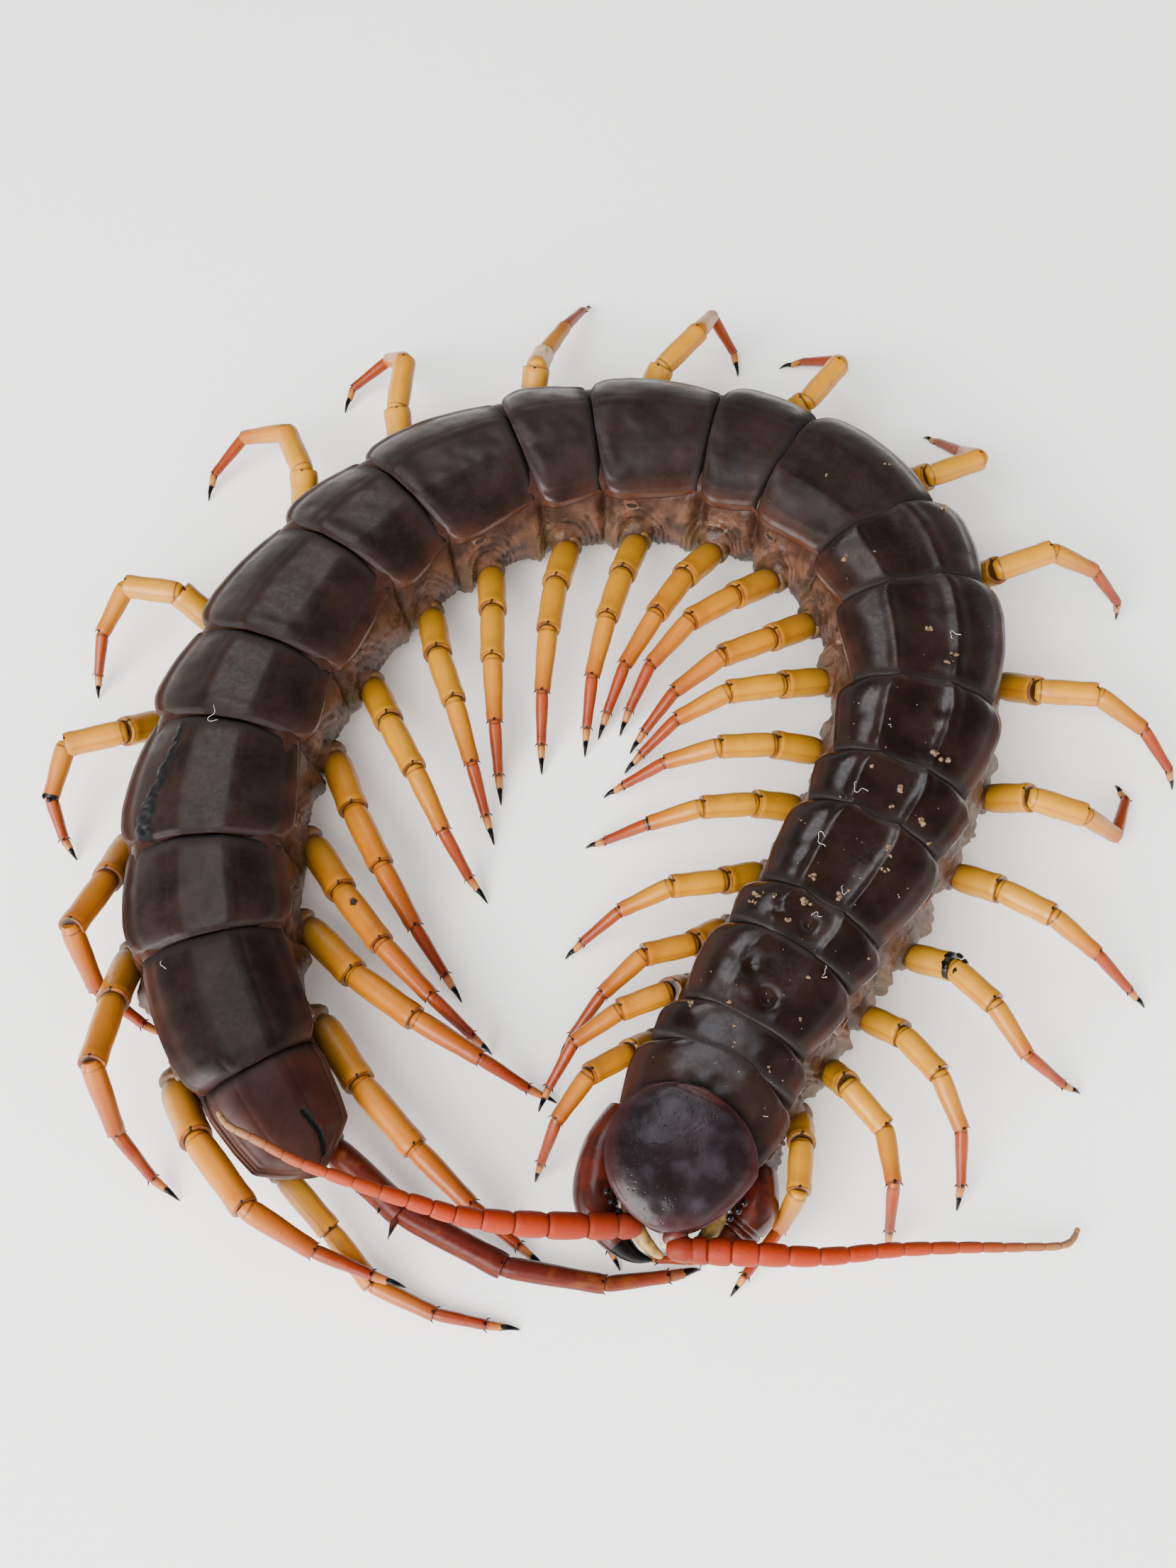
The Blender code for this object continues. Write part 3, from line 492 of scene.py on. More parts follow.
def plate(n):
    """Tergite n: its arch, the flanges at its sides and its underside."""
    rows = int((TERGITES[n - 1] + 1) / PLATE_STEP) + 8
    u = (1 - (1 - np.linspace(0.0, 1.0, rows)) ** 1.25)[:, None]
    v = np.sin(np.linspace(-1, 1, ARCH_POINTS) * pi / 2 * 0.94) / np.sin(pi / 2 * 0.94)
    arch = plate_arch(n, np.broadcast_to(u, (rows, ARCH_POINTS)), np.broadcast_to(v, (rows, ARCH_POINTS)))
    half = arch["half"][:, :1]
    in_from_side, drop = np.array(FLANGE).T
    drop = drop * (0.45 if n == LAST else 0.8 if n < 3 else 1.0)
    thick = PLATE_THICK * (1 - 0.6 * step(0.35, 0.0, arch["left"][:, :1]))
    under_v = v[::-1] * 0.97
    under = np.stack([np.interp(under_v, v, row) for row in arch["top"]]) - thick
    under_s = np.stack([np.interp(under_v, v, row) for row in arch["s"]])
    out = np.concatenate([
        arch["out"], half - in_from_side, under_v[None] * (half - 0.8), -half + in_from_side[::-1]], axis=1)
    top = np.concatenate([
        arch["top"], arch["top"][:, -1:] + drop, under, arch["top"][:, :1] + drop[::-1]], axis=1)
    flange_s = np.repeat(arch["s"][:, :1], len(FLANGE), axis=1)
    line = np.concatenate([arch["s"], flange_s, under_s, flange_s], axis=1)

    def whole(value, beyond):
        """A value for the points of the arch, and another for those of the flanges and the underside."""
        rest = np.full((rows, out.shape[1] - ARCH_POINTS), beyond)
        return np.concatenate([np.broadcast_to(value, (rows, ARCH_POINTS)), rest], axis=1)

    # On a plate, along is 1 on the flanges and the underside, around is the place across and keeps the
    # painted sheen off the front plates, the mark of painted shade is 1 where the plate in front hides this
    # one, and flush is its share of soil.
    marks = {
        "edge": whole(arch["inset"] * {20: 0.7, LAST: 0.4}.get(n, 1.0), 0.0),
        "rear": np.broadcast_to(arch["left"][:, :1], out.shape),
        "scar": whole(arch["scar"], FAR),
        "along": whole(0.0, 1.0),
        "around": whole(np.abs(v), 1.0) + (0.0 if n > 9 else 1.0),
        "fold": whole(arch["hidden_shade"], 0.0),
    }
    # The ring starts in the middle of a flange, so that its closing strips join the top to the underside.
    marks = {name: np.roll(value, 3, axis=1) for name, value in marks.items()}
    soil = 1.0 if n <= 7 else 0.5 if n <= 9 else 0.15
    return shell(np.roll(put(line, out, top), 3, axis=1), flush=soil, **marks)


# %% The twenty-one plates
for n in range(1, LAST + 1):
    finish = {20: dark_finish, LAST: tail_finish}.get(n, plate_finish)
    piece(f"tergite_{n:02d}", [plate(n)], finish)
print("plates:", LAST)

# %% [markdown]
# ## Crumbs of earth
#
# Crumbs of dry earth lie on the front plates, with a few pale fibres. Each crumb is a small lump with an
# uneven skin, set into the plate where it lies. A seeded draw scatters them, with a number for each plate,
# so no crumb stands for one of the real animal's. Earth is quite dull, and a fibre shines a little.

# %% Crumbs and fibres
CRUMBS = {1: 9, 2: 9, 3: 13, 4: 14, 5: 22, 6: 12, 7: 14, 8: 8, 9: 5, 10: 3}
FIBRES = (
    (5, 0.55, -0.35, 2.6), (5, 0.35, 0.1, 1.9), (6, 0.5, -0.42, 2.5), (4, 0.8, 0.1, 1.4),
    (7, 0.45, -0.3, 2.0), (1, 0.6, 0.75, 2.4), (8, 0.5, 0.4, 2.0), (18, 0.16, 0.05, 3.6),
    (20, 0.2, 0.7, 3.0), (3, 0.9, 0.6, 1.6),
)


def plain_finish(name, code, other, roughness, size_mm, depth_mm, **sockets):
    """A finish of two close colours with fine relief."""
    finish, tree, shader = new_finish(name, roughness, 1.54, **sockets)
    cloud = speckle(tree, size_mm, 5.0).outputs["Fac"]
    paint_over(tree, shader, paint(code), (amount(tree, (cloud, 0.35, 0.65)), other))
    tool(tree, shader, (cloud, depth_mm))
    return finish


def unit(vector):
    return vector / np.linalg.norm(vector)


def hoop(centre, along, radius, sides, ribs=0.0):
    """A ring of points square to a direction, and how high on the ring each one is."""
    across = unit(np.cross(along, [0.0, 0.0, 1.0]))
    up = unit(np.cross(across, along))
    turn = 2 * pi * (np.arange(sides) + 0.5) / sides
    wide = radius * (1 + ribs * np.cos(6 * turn))
    points = centre + np.outer(np.cos(turn) * wide, across) + np.outer(np.sin(turn) * wide, up)
    points[:, 2] = np.maximum(points[:, 2], 0.0)
    return points, np.sin(turn)


def bead(centre, way, radius, sides=20, flat=1.0, uneven=0.0, seed=1):
    """A round bead, which may be flattened along its way or uneven."""
    rings = []
    for lean in np.linspace(-pi / 2 + 0.12, pi / 2 - 0.12, 12):
        middle = centre + way * radius * flat * np.sin(lean)
        rings.append(hoop(middle, way, radius * np.cos(lean), sides)[0])
    rings = np.array(rings)
    if uneven:
        rings += (rings - centre) * uneven * lumps(rings, radius * 0.9, seed)[..., None]
    return shell(rings, along=0.0, scar=FAR, joint=FAR, dot=FAR)


def on_plate(n, u, v):
    """Point on the top of plate n."""
    arch = plate_arch(n, np.array([[u]]), np.array([[v]]))
    return put(arch["s"], arch["out"], arch["top"])[0, 0]


draw = np.random.default_rng(7)
crumbs = []
for n, count in CRUMBS.items():
    for _ in range(count):
        place = on_plate(n, draw.uniform(0.2, 0.92), draw.uniform(-0.85, 0.85))
        way = unit(np.array([draw.normal(), draw.normal(), 0.4]))
        size = 0.06 + 0.24 * draw.random() ** 3
        for k in range(1 + int(size * 9)):
            offset = np.array([*draw.normal(size=2), 0.0]) * size * (0.9 if k else 0.0)
            crumbs.append(bead(place + offset, way, size * draw.uniform(0.6, 1.0), 8, 0.8, 0.5, n + k))
crumb_finish = plain_finish("dry_earth", "#3a2a1c", "#6c553e", 0.9, 0.3, 0.05)
piece("crumbs", crumbs, crumb_finish)

fibres = []
for n, u, v, length in FIBRES:
    start = on_plate(n, u, v)
    turn = draw.uniform(0, 2 * pi)
    rings = []
    for share in np.linspace(0, 1, 24):
        bend = turn + 1.6 * np.sin(share * 4 + turn) + 0.7 * np.sin(share * 13)
        rings.append(hoop(start, np.array([np.cos(bend), np.sin(bend), 0.0]), 0.015, 6)[0] + [0, 0, 0.06])
        start = start + np.array([np.cos(bend), np.sin(bend), 0.0]) * length / 24
    fibres.append(shell(rings))
piece("fibres", fibres, plain_finish("pale_fibre", "#b8b0a4", "#d8d2c8", 0.7, 0.3, 0.01))
print("crumbs:", len(crumbs), "fibres:", len(fibres))

# %% [markdown]
# ## The soft skin
#
# Between the back plates and the belly plates a centipede is all flank: a leathery membrane, pinkish brown,
# that folds as the body bends. One skin runs the whole length and stands for all the lengths of trunk, so
# no seam shows. It is drawn in at every joint of the body, swells where each leg grows, hangs in a small
# pouch behind the leg, and is creased in arcs round the leg's root. The creases are real relief, made by
# moving the points, because the light rakes across them.

# %% Membrane finish
def flank_membrane():
    """Leathery skin with painted shade in its creases and under the plates, and yellower on its pouches and
    belly.
    """
    finish, tree, shader = new_finish(
        "flank_membrane", 0.40, 1.45,
        Subsurface_Weight=0.12, Subsurface_Radius=(1.0, 0.45, 0.25), Subsurface_Scale=0.5 * MM)
    cloud = speckle(tree, 1.8, 5.0).outputs["Fac"]
    paint_over(
        tree, shader, paint("#26160f"),
        (amount(tree, (cloud, 0.35, 0.65)), "#482e21"),
        # painted shade in the creases and where the skin is drawn in
        (amount(tree, ("fold", 0.08, -0.20)), "#1c0d08"),
        (amount(tree, ("flush",), (0.75,)), "#4c3a22"),
        # painted shade high on the flank, under the overhang of the plates
        (amount(tree, ("edge", 0.60, 0.76)), "#28140c"),
        (amount(tree, ("edge", 0.16, 0.03)), "#6e5032"),
    )
    wrinkles = speckle(tree, 0.6, 6.0).outputs["Fac"]
    pores = speckle(tree, 0.16, 3.0).outputs["Fac"]
    tool(tree, shader, (wrinkles, 0.10), (pores, 0.03))
    return finish


membrane_finish = flank_membrane()
print("made", membrane_finish.name)

# %% The skin of the trunk
SKIN_STEP = 0.22
SKIN_SIDES = 132
CREASE_APART = 0.72
CREASE_DEPTH = 0.11
COXA_SHARES = ((5, 0.45), (10, 0.55), (15, 0.68), (21, 0.72))
COXA_OUT = 0.59
COXA_HEIGHT = 3.6
TAIL_END = 181.8
FLANK = ((0, 0.94), (4, 1.0), (165, 1.0), (172, 0.9), (178, 0.74), (184, 0.6))
SKIN_SECTION = (
    (0.00, 0.015), (0.26, 0.015), (0.42, 0.09), (0.52, 0.25), (0.535, 0.42), (0.505, 0.62),
    (0.47, 0.78), (0.44, 0.85), (0.36, 0.88), (0.20, 0.90), (0.00, 0.905),
)


def ring_of(half_section, count):
    """A closed ring of even points round a half section and its mirror."""
    loop = np.array(list(half_section) + [(-x, z) for x, z in reversed(half_section[1:-1])])
    closed = np.vstack([loop, loop[:1]])
    run = np.concatenate([[0.0], np.cumsum(np.linalg.norm(np.diff(closed, axis=0), axis=1))])
    at = np.linspace(0.0, run[-1], count, endpoint=False)
    ring = np.stack([np.interp(at, run, closed[:, k]) for k in (0, 1)], axis=-1)
    for _ in range(4):
        ring = (np.roll(ring, 1, axis=0) + 2 * ring + np.roll(ring, -1, axis=0)) / 4
    return ring


def coxa_place(side, n):
    """Distance along, distance out and height of the end of one coxa."""
    share = next(share for last, share in COXA_SHARES if n <= last)
    s = rear_edge(n - 1) + TERGITES[n - 1] * share
    out = COXA_OUT * float(read(WIDTHS, s))
    height = COXA_HEIGHT
    if n == LAST:
        s = TAIL_END + 0.4
        out = 2.1
    if n == 1:
        out = 5.4
        height = 1.9
    return s, out * side, height


def skin_of_trunk():
    """The soft skin, ring by ring, with its swellings and creases."""
    s = np.arange(0.0, TAIL_END + 0.5, SKIN_STEP)[:, None]
    share = ring_of(SKIN_SECTION, SKIN_SIDES)[None]
    belly = read(BELLY, s)
    up = share[..., 1]
    out = share[..., 0] * read(WIDTHS, s) * read(FLANK, s)
    high = belly + up * (smooth(HEIGHTS, s) - belly)
    along_x = np.roll(out, -1, axis=1) - np.roll(out, 1, axis=1)
    along_z = np.roll(high, -1, axis=1) - np.roll(high, 1, axis=1)
    size = np.hypot(along_x, along_z)
    normal_x, normal_z = along_z / size, -along_x / size
    flank = step(0.05, 0.2, up) * step(0.80, 0.70, up)
    edges = np.array([rear_edge(n) for n in range(LAST + 1)])
    gap = np.abs(s - edges[None, :]).min(axis=1)[:, None]
    spots = put(s, out, high)
    wobble = lumps(spots, 1.6, 3)
    push = flank * (0.25 - 0.75 * hill(gap + 0.25 * wobble, 0.75))
    fold = np.zeros_like(out)
    pouch = np.zeros_like(out)
    for n in range(1, LAST):
        for side in (1, -1):
            root_s, _, root_z = coxa_place(side, n)
            here = np.where(np.sign(out) == side, 1.0, 0.0)
            ds, dz = s - root_s, high - root_z
            far = np.hypot(ds, dz)
            sag = here * hill(ds - 2.9, 1.35) * hill(dz + 0.3, 2.3)
            pouch += sag
            push += here * 0.80 * hill(far, 1.5) + 0.95 * sag - here * 0.30 * hill(far - 2.2, 0.45)
            reach = step(1.7, 2.4, far) * step(5.6, 3.6, far) * here * flank
            fold += reach * np.sin(2 * pi * far / CREASE_APART + 2.6 * wobble)
    fold += 0.8 * flank * lumps(spots, 0.7, 8) + 0.5 * flank * lumps(spots, 0.35, 11)
    push += CREASE_DEPTH * fold
    out = out + normal_x * push
    high = np.maximum(high + normal_z * push, 0.12)
    # Painted shade: this mark is low in the creases and where the skin is drawn in, and the finish darkens it
    # there.
    crease_shade = 0.09 * fold + 0.25 * (push - 0.9 * pouch)
    return shell(put(s, out, high), edge=up + 0 * out, fold=crease_shade, flush=pouch)


piece("body_skin", [skin_of_trunk()], membrane_finish, [f"trunk_{k}" for k in range(1, 8)])
print("skin made")

# %% [markdown]
# ## Breathing holes and belly plates
#
# A slit of dark horn on every segment that breathes sits under the rim of its plate, in a paler, waxier lip.
# Under the body lie the sternites, pale squarish plates of thinner horn that the animal rests on. Neither is
# needed to see the pose, but a model that is picked up shows both.

# %% Spiracles and sternites
BREATHING = (3, 5, 8, 10, 12, 14, 16, 18, 20)
SLIT_SHARE = 0.74
SLIT_LONG = 0.95
SLIT_HIGH = 0.42
slit_finish = plain_finish("spiracle_horn", "#0a0605", "#1c100c", 0.5, 0.3, 0.02)
lip_finish = plain_finish("spiracle_lip", "#3c241a", "#5c4030", 0.4, 0.3, 0.02)
belly_finish = plain_finish("pale_belly_chitin", "#8c6a44", "#b39263", 0.42, 1.5, 0.05)


def oval(side, n, grows):
    """An oval lip or slit on the flank: rings as (size, rise)."""
    s = rear_edge(n - 1) + TERGITES[n - 1] * SLIT_SHARE
    out = 0.487 * float(read(WIDTHS, s))
    z = 0.675 * float(read(HEIGHTS, s))
    turn = np.linspace(0, 2 * pi, 24, endpoint=False)
    rings = []
    for grow, rise in grows:
        high = z + SLIT_HIGH * grow * np.sin(turn) + 0.1 * np.cos(turn)
        rings.append(put(s + SLIT_LONG * grow * np.cos(turn), side * (out + rise), high))
    return shell(rings)


def sternite(n):
    """Belly plate n."""
    front, back = rear_edge(n - 1) + 0.35, min(rear_edge(n) - 0.25, TAIL_END)
    u = np.linspace(0, 1, 24)
    s = front + u * (back - front)
    half = 0.27 * read(WIDTHS, s) * (1 - 0.5 * (2 * np.abs(u - 0.5)) ** 8)
    turn = np.linspace(0, 2 * pi, 40, endpoint=False)
    low = read(BELLY, s)[:, None] + 0.20
    wide = np.sign(np.cos(turn)) * np.abs(np.cos(turn)) ** 0.35
    return shell(put(s[:, None], half[:, None] * wide, low - 0.17 * np.sin(turn)))


breathing = [(side, n) for n in BREATHING for side in (1, -1)]
piece("spiracle_lips", [oval(side, n, ((1.0, -0.3), (1.0, 0.62), (0.92, 0.74), (0.72, 0.70), (0.6, 0.3)))
                        for side, n in breathing], lip_finish)
piece("spiracle_slits", [oval(side, n, ((0.78, -0.2), (0.78, 0.66), (0.7, 0.72), (0.2, 0.68)))
                         for side, n in breathing], slit_finish)
piece("sternites", [sternite(n) for n in range(1, LAST + 1)], belly_finish)
print("breathing slits:", len(breathing))

# %% [markdown]
# ## Legs
#
# A leg is five hollow rods of horn, each with a slightly flared end that the next one slides out of, and a
# black claw. Drawing each rod as its own shell gives the joints for free: the flare casts a thin shadow on
# the next rod's narrow root. The horn is thin here, so it is ochre and lets some light in. It is flushed
# orange towards the foot, the hind legs are redder, and the last right one is dark red and less glossy.
# Claws are solid black horn with a small sharp gloss, and the collars at the body are dull brown.

# %% Leg finish
LEG_STOPS = (
    (0.0, "#6a4a14"), (1.0, "#a07028"), (0.05, "#8c620e"), (0.14, "#a0700a"), (0.3, "#a87608"),
    (0.5, "#9c6602"), (0.585, "#905004"), (0.61, "#7e3004"), (0.78, "#6a2203"), (0.83, "#80420e"),
)
RED_STOPS = (
    (0.0, "#5e3e16"), (1.0, "#8a5226"), (0.06, "#8c5e16"), (0.2, "#a0600a"), (0.36, "#985202"),
    (0.46, "#803804"), (0.58, "#6e2804"), (0.64, "#662003"), (0.79, "#601602"), (0.84, "#82441e"),
)


def thin_leg_horn(name="thin_leg_horn", stops=LEG_STOPS, flushed=RED_STOPS, level=0.4):
    """Leg horn, coloured rod by rod, with dark lines at the joints and painted shade in a streak along each
    side.
    """
    finish, tree, shader = new_finish(
        name, 0.36, 1.54, Specular_IOR_Level=level,
        Subsurface_Weight=0.10, Subsurface_Radius=(1.0, 0.5, 0.1), Subsurface_Scale=0.5 * MM)
    place = amount(tree, ("along",), (0.2,))
    usual = add(tree, "ShaderNodeValToRGB", {"Fac": place}, stops).outputs["Color"]
    red = add(tree, "ShaderNodeValToRGB", {"Fac": place}, flushed).outputs["Color"]
    cloud = speckle(tree, 1.6, 5.0).outputs["Fac"]
    grain = speckle(tree, 0.3, 4.0).outputs["Fac"]
    paint_over(
        tree, shader, usual,
        (amount(tree, ("flush",)), red),
        (amount(tree, (cloud, 0.5, 0.8, 0.0, 0.4)), "#7c4413"),
        # painted shade: a brown streak along each side of every rod, where the round rod turns away from the
        # light
        (amount(tree, ("around", 0.30, 0.44), ("around", 0.62, 0.48), (0.30,)), "#6d2c12"),
        (amount(tree, ("joint", 0.15, 0.03), (cloud, 0.35, 0.6, 0.45, 0.9)), "#4a2410"),
        (amount(tree, ("dot", 0.20, 0.10)), "#0c0604"),
        (amount(tree, ("scar", 0.22, 0.05)), "#050506"),
    )
    tree.links.new(amount(tree, (grain, 0.3, 0.7, 0.27, 0.42)), shader.inputs["Roughness"])
    tool(tree, shader, (cloud, 0.05), (grain, 0.008))
    return finish


leg_finish = thin_leg_horn()
HIND_STOPS = (
    (0.0, "#3c120a"), (1.0, "#643820"), (0.15, "#3e1008"), (0.4, "#3c1009"),
    (0.6, "#401209"), (0.78, "#562010"), (0.84, "#643820"), (0.92, "#5c321c"),
)
hind_finish = thin_leg_horn("dark_red_horn", HIND_STOPS, HIND_STOPS, 0.2)
claw_finish = plain_finish("black_claw_horn", "#020202", "#070504", 0.25, 0.5, 0.01, Specular_IOR_Level=0.25)
collar_finish = plain_finish("coxa_horn", "#32200f", "#54381a", 0.45, 0.7, 0.05)
print("made", leg_finish.name, hind_finish.name)

# %% [markdown]
# The pose of every leg is a handful of angles: how far its first rod swings forward, how far each next rod
# turns, and how high each joint stands over the floor. They are rounded from a fit of each leg to where its
# joints are seen, as the headings of the midline and the camera are, and are the same values that placed
# the solids.

# %% Poses of the legs
USUAL_ARCH = (5.3, 6.0, 4.2, 1.5, 0.0)
POSE_RIGHT = {
    1: (76, 14, 28, 18), 2: (72, -6, 15, 8), 3: (83, -28, 7, 24), 4: (75, -21, 19, 8), 5: (58, -13, 5, 10),
    6: (35, 2, -3, -5), 7: (23, 4, -3, 6), 8: (22, -6, 6, 12), 9: (18, -8, 3, 12),
    10: (-4, -2, 7, 14), 11: (-15, 5, -4, 8), 12: (-15, 1, 0, 7), 13: (-24, 4, 1, 4),
    14: (-30, -2, 1, 2), 15: (-41, 7, 0, 1), 16: (-44, 4, 2, 10), 17: (-55, 5, 5, 4),
    18: (-59, 5, 9, 12), 19: (-59, 9, 10, 6), 20: (-83, 8, 5, 7), 21: (-76, 14, 18, 18),
}
POSE_LEFT = {
    1: (76, 14, 34, 30), 2: (64, 4, 30, 2), 3: (34, -15, 34, 5), 4: (7, 14, 11, 22), 5: (-3, 22, 3, -31),
    6: (8, 1, -1, -1), 7: (11, -18, -11, -68), 8: (46, -40, 22, 13), 9: (67, -65, 18, 18),
    10: (64, -40, -78, -16), 11: (52, -31, -33, -60), 12: (32, 9, -22, 101), 13: (23, -3, 16, 2),
    14: (25, 14, -34, -88), 15: (47, -18, -46, -67), 16: (2, -18, -68, -19), 17: (-60, 30, -57, -36),
    18: (-85, 8, -38, -35), 19: (-79, 2, -22, -24), 20: (-91, -11, -26, -6), 21: (-99, 3, -25, -13),
}
ARCH_RIGHT = {
    1: (1.4, 1.0, 0.8, 0.6, 0.0), 2: (5.7, 6.9, 5.4, 1.8, 0.0), 3: (6.4, 6.4, 4.9, 2.1, 1.3),
    16: (5.8, 6.6, 4.7, 1.5, 0.0), 17: (4.4, 4.7, 3.1, 1.5, 0.0),
    18: (5.0, 5.8, 5.0, 2.1, 0.0), 19: (4.4, 5.0, 3.7, 1.2, 0.0), 20: (4.3, 3.9, 2.8, 1.4, 0.0),
    21: (2.5, 2.0, 1.6, 1.0, 0.0),
}
ARCH_LEFT = {
    1: (1.4, 1.0, 0.8, 0.6, 0.0), 2: (5.5, 6.0, 2.2, 1.2, 0.0), 3: (6.1, 5.7, 5.5, 1.8, 0.0),
    7: (6.5, 5.3, 1.8, 1.0, 0.0), 8: (6.6, 7.0, 5.1, 2.2, 0.0), 9: (7.8, 8.7, 6.0, 2.5, 0.0),
    10: (7.0, 7.4, 3.8, 1.4, 0.0), 11: (6.4, 7.5, 3.8, 1.3, 0.0), 12: (6.5, 7.3, 4.8, 1.0, 0.0),
    13: (7.6, 4.4, 3.2, 1.6, 0.0), 14: (6.3, 7.2, 3.4, 1.3, 0.0), 15: (6.6, 6.2, 3.4, 1.3, 0.0),
    16: (6.5, 6.5, 4.2, 1.5, 0.0), 17: (6.5, 6.5, 4.2, 1.5, 0.0), 18: (6.8, 9.4, 4.2, 2.0, 0.0),
    19: (7.0, 9.3, 4.6, 1.4, 0.0), 20: (6.3, 6.6, 3.6, 2.6, 1.9), 21: (2.0, 1.1, 0.9, 0.7, 0.0),
}
LEFT, RIGHT = 1, -1
SHORT_LEGS = {(LEFT, 16): 0.82, (LEFT, 17): 0.8}
SECOND_PAIR = (3.3, 4.1, 4.3, 4.4, 2.1)
GROWTH = (2.7, 1.9, 1.6, 0.4, 0.7)
REAR_GROWTH = (0.12, 0.20, 0.06, 0.0, 0.0)
FIRST_PAIR = (2.8, 3.3, 3.4, 3.2, 1.7)
LAST_PAIR = {RIGHT: (7.6, 9.0, 7.8, 5.0, 2.9), LEFT: (5.5, 5.3, 5.3, 4.0, 2.7)}
GIRTH = (1.42, 1.22, 1.02, 0.66, 0.42, 0.27)
LAST_GIRTH = {RIGHT: (1.25, 1.1, 0.95, 0.7, 0.5, 0.35), LEFT: (1.05, 0.9, 0.75, 0.55, 0.4, 0.27)}
SMALLEST_GIRTH = 0.82
FIRST_PAIR_GIRTH = 0.68
FULL_GIRTH_BY = 7


def leg_lengths(side, n):
    """Prefemur, femur, tibia, first tarsus, and second tarsus with claw."""
    if n == LAST:
        return LAST_PAIR[side]
    if n == 1:
        return FIRST_PAIR
    grown = min(1.0, (n - 2) / 11)
    rear = max(0, n - 15)
    share = SHORT_LEGS.get((side, n), 1.0)
    sizes = zip(SECOND_PAIR, GROWTH, REAR_GROWTH)
    return tuple(share * (length + more * grown + last * rear) for length, more, last in sizes)


def leg_girth(side, n):
    """Radii where each rod begins, and at the claw's root."""
    if n == LAST:
        return LAST_GIRTH[side]
    grown = SMALLEST_GIRTH + (1 - SMALLEST_GIRTH) * min(1.0, (n - 1) / FULL_GIRTH_BY)
    if n == 1:
        grown = FIRST_PAIR_GIRTH
    return tuple(grown * radius for radius in GIRTH)


def leg_joints(side, n):
    """Joints of a leg from the coxa's end to the claw's tip."""
    s, out, z = coxa_place(side, n)
    joints = [put(s, out, z)]
    ahead, left = ahead_and_left(s)
    sideways = left * side
    pose = (POSE_LEFT if side == LEFT else POSE_RIGHT)[n]
    arch = (ARCH_LEFT if side == LEFT else ARCH_RIGHT).get(n, USUAL_ARCH)
    azimuth = 0.0
    for length, turn, height in zip(leg_lengths(side, n), (*pose, pose[3] * 0.5), arch):
        azimuth += radians(turn)
        reach = max(length ** 2 - (height - joints[-1][2]) ** 2, 0.0) ** 0.5
        way = sideways * np.cos(azimuth) + ahead * np.sin(azimuth)
        joints.append(np.array([*(joints[-1][:2] + way[:2] * reach), height]))
    return joints


def coxa_way(side, n):
    """Direction in which the leg leaves the body."""
    s, _, _ = coxa_place(side, n)
    ahead, left = ahead_and_left(s)
    if n == LAST:
        return -ahead
    joints = leg_joints(side, n)
    lean = 0.7 if n > 2 else 0.35
    return unit(unit(joints[1] - joints[0]) + left * side * lean)


# %% [markdown]
# A rod is a tube about a line. Its ring is built from a direction across and one up, so that the mark
# called around is 1 on top and -1 below, and the flat facets of the rod stay in line along its length.
# Where a leg was broken and healed, a scar mark paints the joint black, and a few lumps sit on it.

# %% Rods and legs
ROD = (
    (-0.06, 0.60), (-0.02, 0.78), (0.04, 0.88), (0.14, 0.96),
    (0.4, 1.01), (0.75, 0.98), (0.92, 1.05), (1.0, 1.0),
)
ROD_SIDES = 26
ROD_SHARES = np.concatenate([
    np.linspace(-0.06, 0.16, 8), np.linspace(0.2, 0.85, 9), np.linspace(0.88, 1.0, 8)])
RIBS = 0.012
HEALED = {(LEFT, 17): (2, 0.5), (LEFT, 5): (0, 0.8), (RIGHT, 6): (2, 0.16)}
SPOTS = {(RIGHT, 18): (1, 0.35)}
COLLAR = ((1.5, 0.8), (0.7, 1.04), (0.15, 1.04), (0.0, 0.9))


def rod(start, end, r0, r1, index, healed=0.0, spot=None):
    """One rod of a leg, with marks for its joints."""
    length = np.linalg.norm(end - start)
    along = (end - start) / length
    rings, tops = [], []
    for u in ROD_SHARES:
        radius = (r0 + (r1 - r0) * np.clip(u, 0, 1)) * float(smooth(ROD, u))
        points, top = hoop(start + along * length * u, along, radius, ROD_SIDES, RIBS)
        rings.append(points)
        tops.append(top)
    rings.append(hoop(end + along * 0.03, along, r1 * 0.78, ROD_SIDES)[0])
    rings = np.array(rings)
    tops = np.array(tops + [tops[-1]])
    shares = np.append(ROD_SHARES, 1.0)[:, None]
    upper = np.arccos(np.clip(tops, -1, 1)) * r1
    dot = np.hypot((0.985 - shares) * length, upper)
    dot[-1] = 0.12
    scar = np.full_like(dot, FAR)
    if healed:
        scar = np.abs(shares - 1.0) * length + 0.12 * lumps(rings, 0.6, 6) - 0.35 * healed
        scar = scar + 0.8 * step(0.2, -0.4, tops) * min(1.0, 2 * healed)
    if spot:
        scar = np.hypot((shares - spot) * length, upper) + 0.15 * lumps(rings, 0.5, 6) - 0.3
    return shell(
        rings, along=index + np.clip(shares, 0, 1), around=tops,
        joint=np.minimum(1.0 - shares, np.abs(shares - 0.03)) * length, dot=dot, scar=scar)


def claw(start, end, radius, sides=16):
    """A curved black claw or spine."""
    length = np.linalg.norm(end - start)
    along = (end - start) / length
    rings = []
    for share in np.linspace(0, 1, 12):
        arch = np.array([0.0, 0.0, 0.16 * length * np.sin(pi * share)])
        width = radius * (1 - share) ** 0.65 + 0.02
        rings.append(hoop(start + along * length * share + arch, along, width, sides)[0])
    return shell(rings)


def flush_of(side, n):
    """How red a leg is, from 0 to 1."""
    if n >= 17:
        return 0.45 if (side, n) == (LEFT, 17) else 0.85
    return 0.55 if side == RIGHT and n in (2, 3, 4, 9, 10, 11) else 0.25


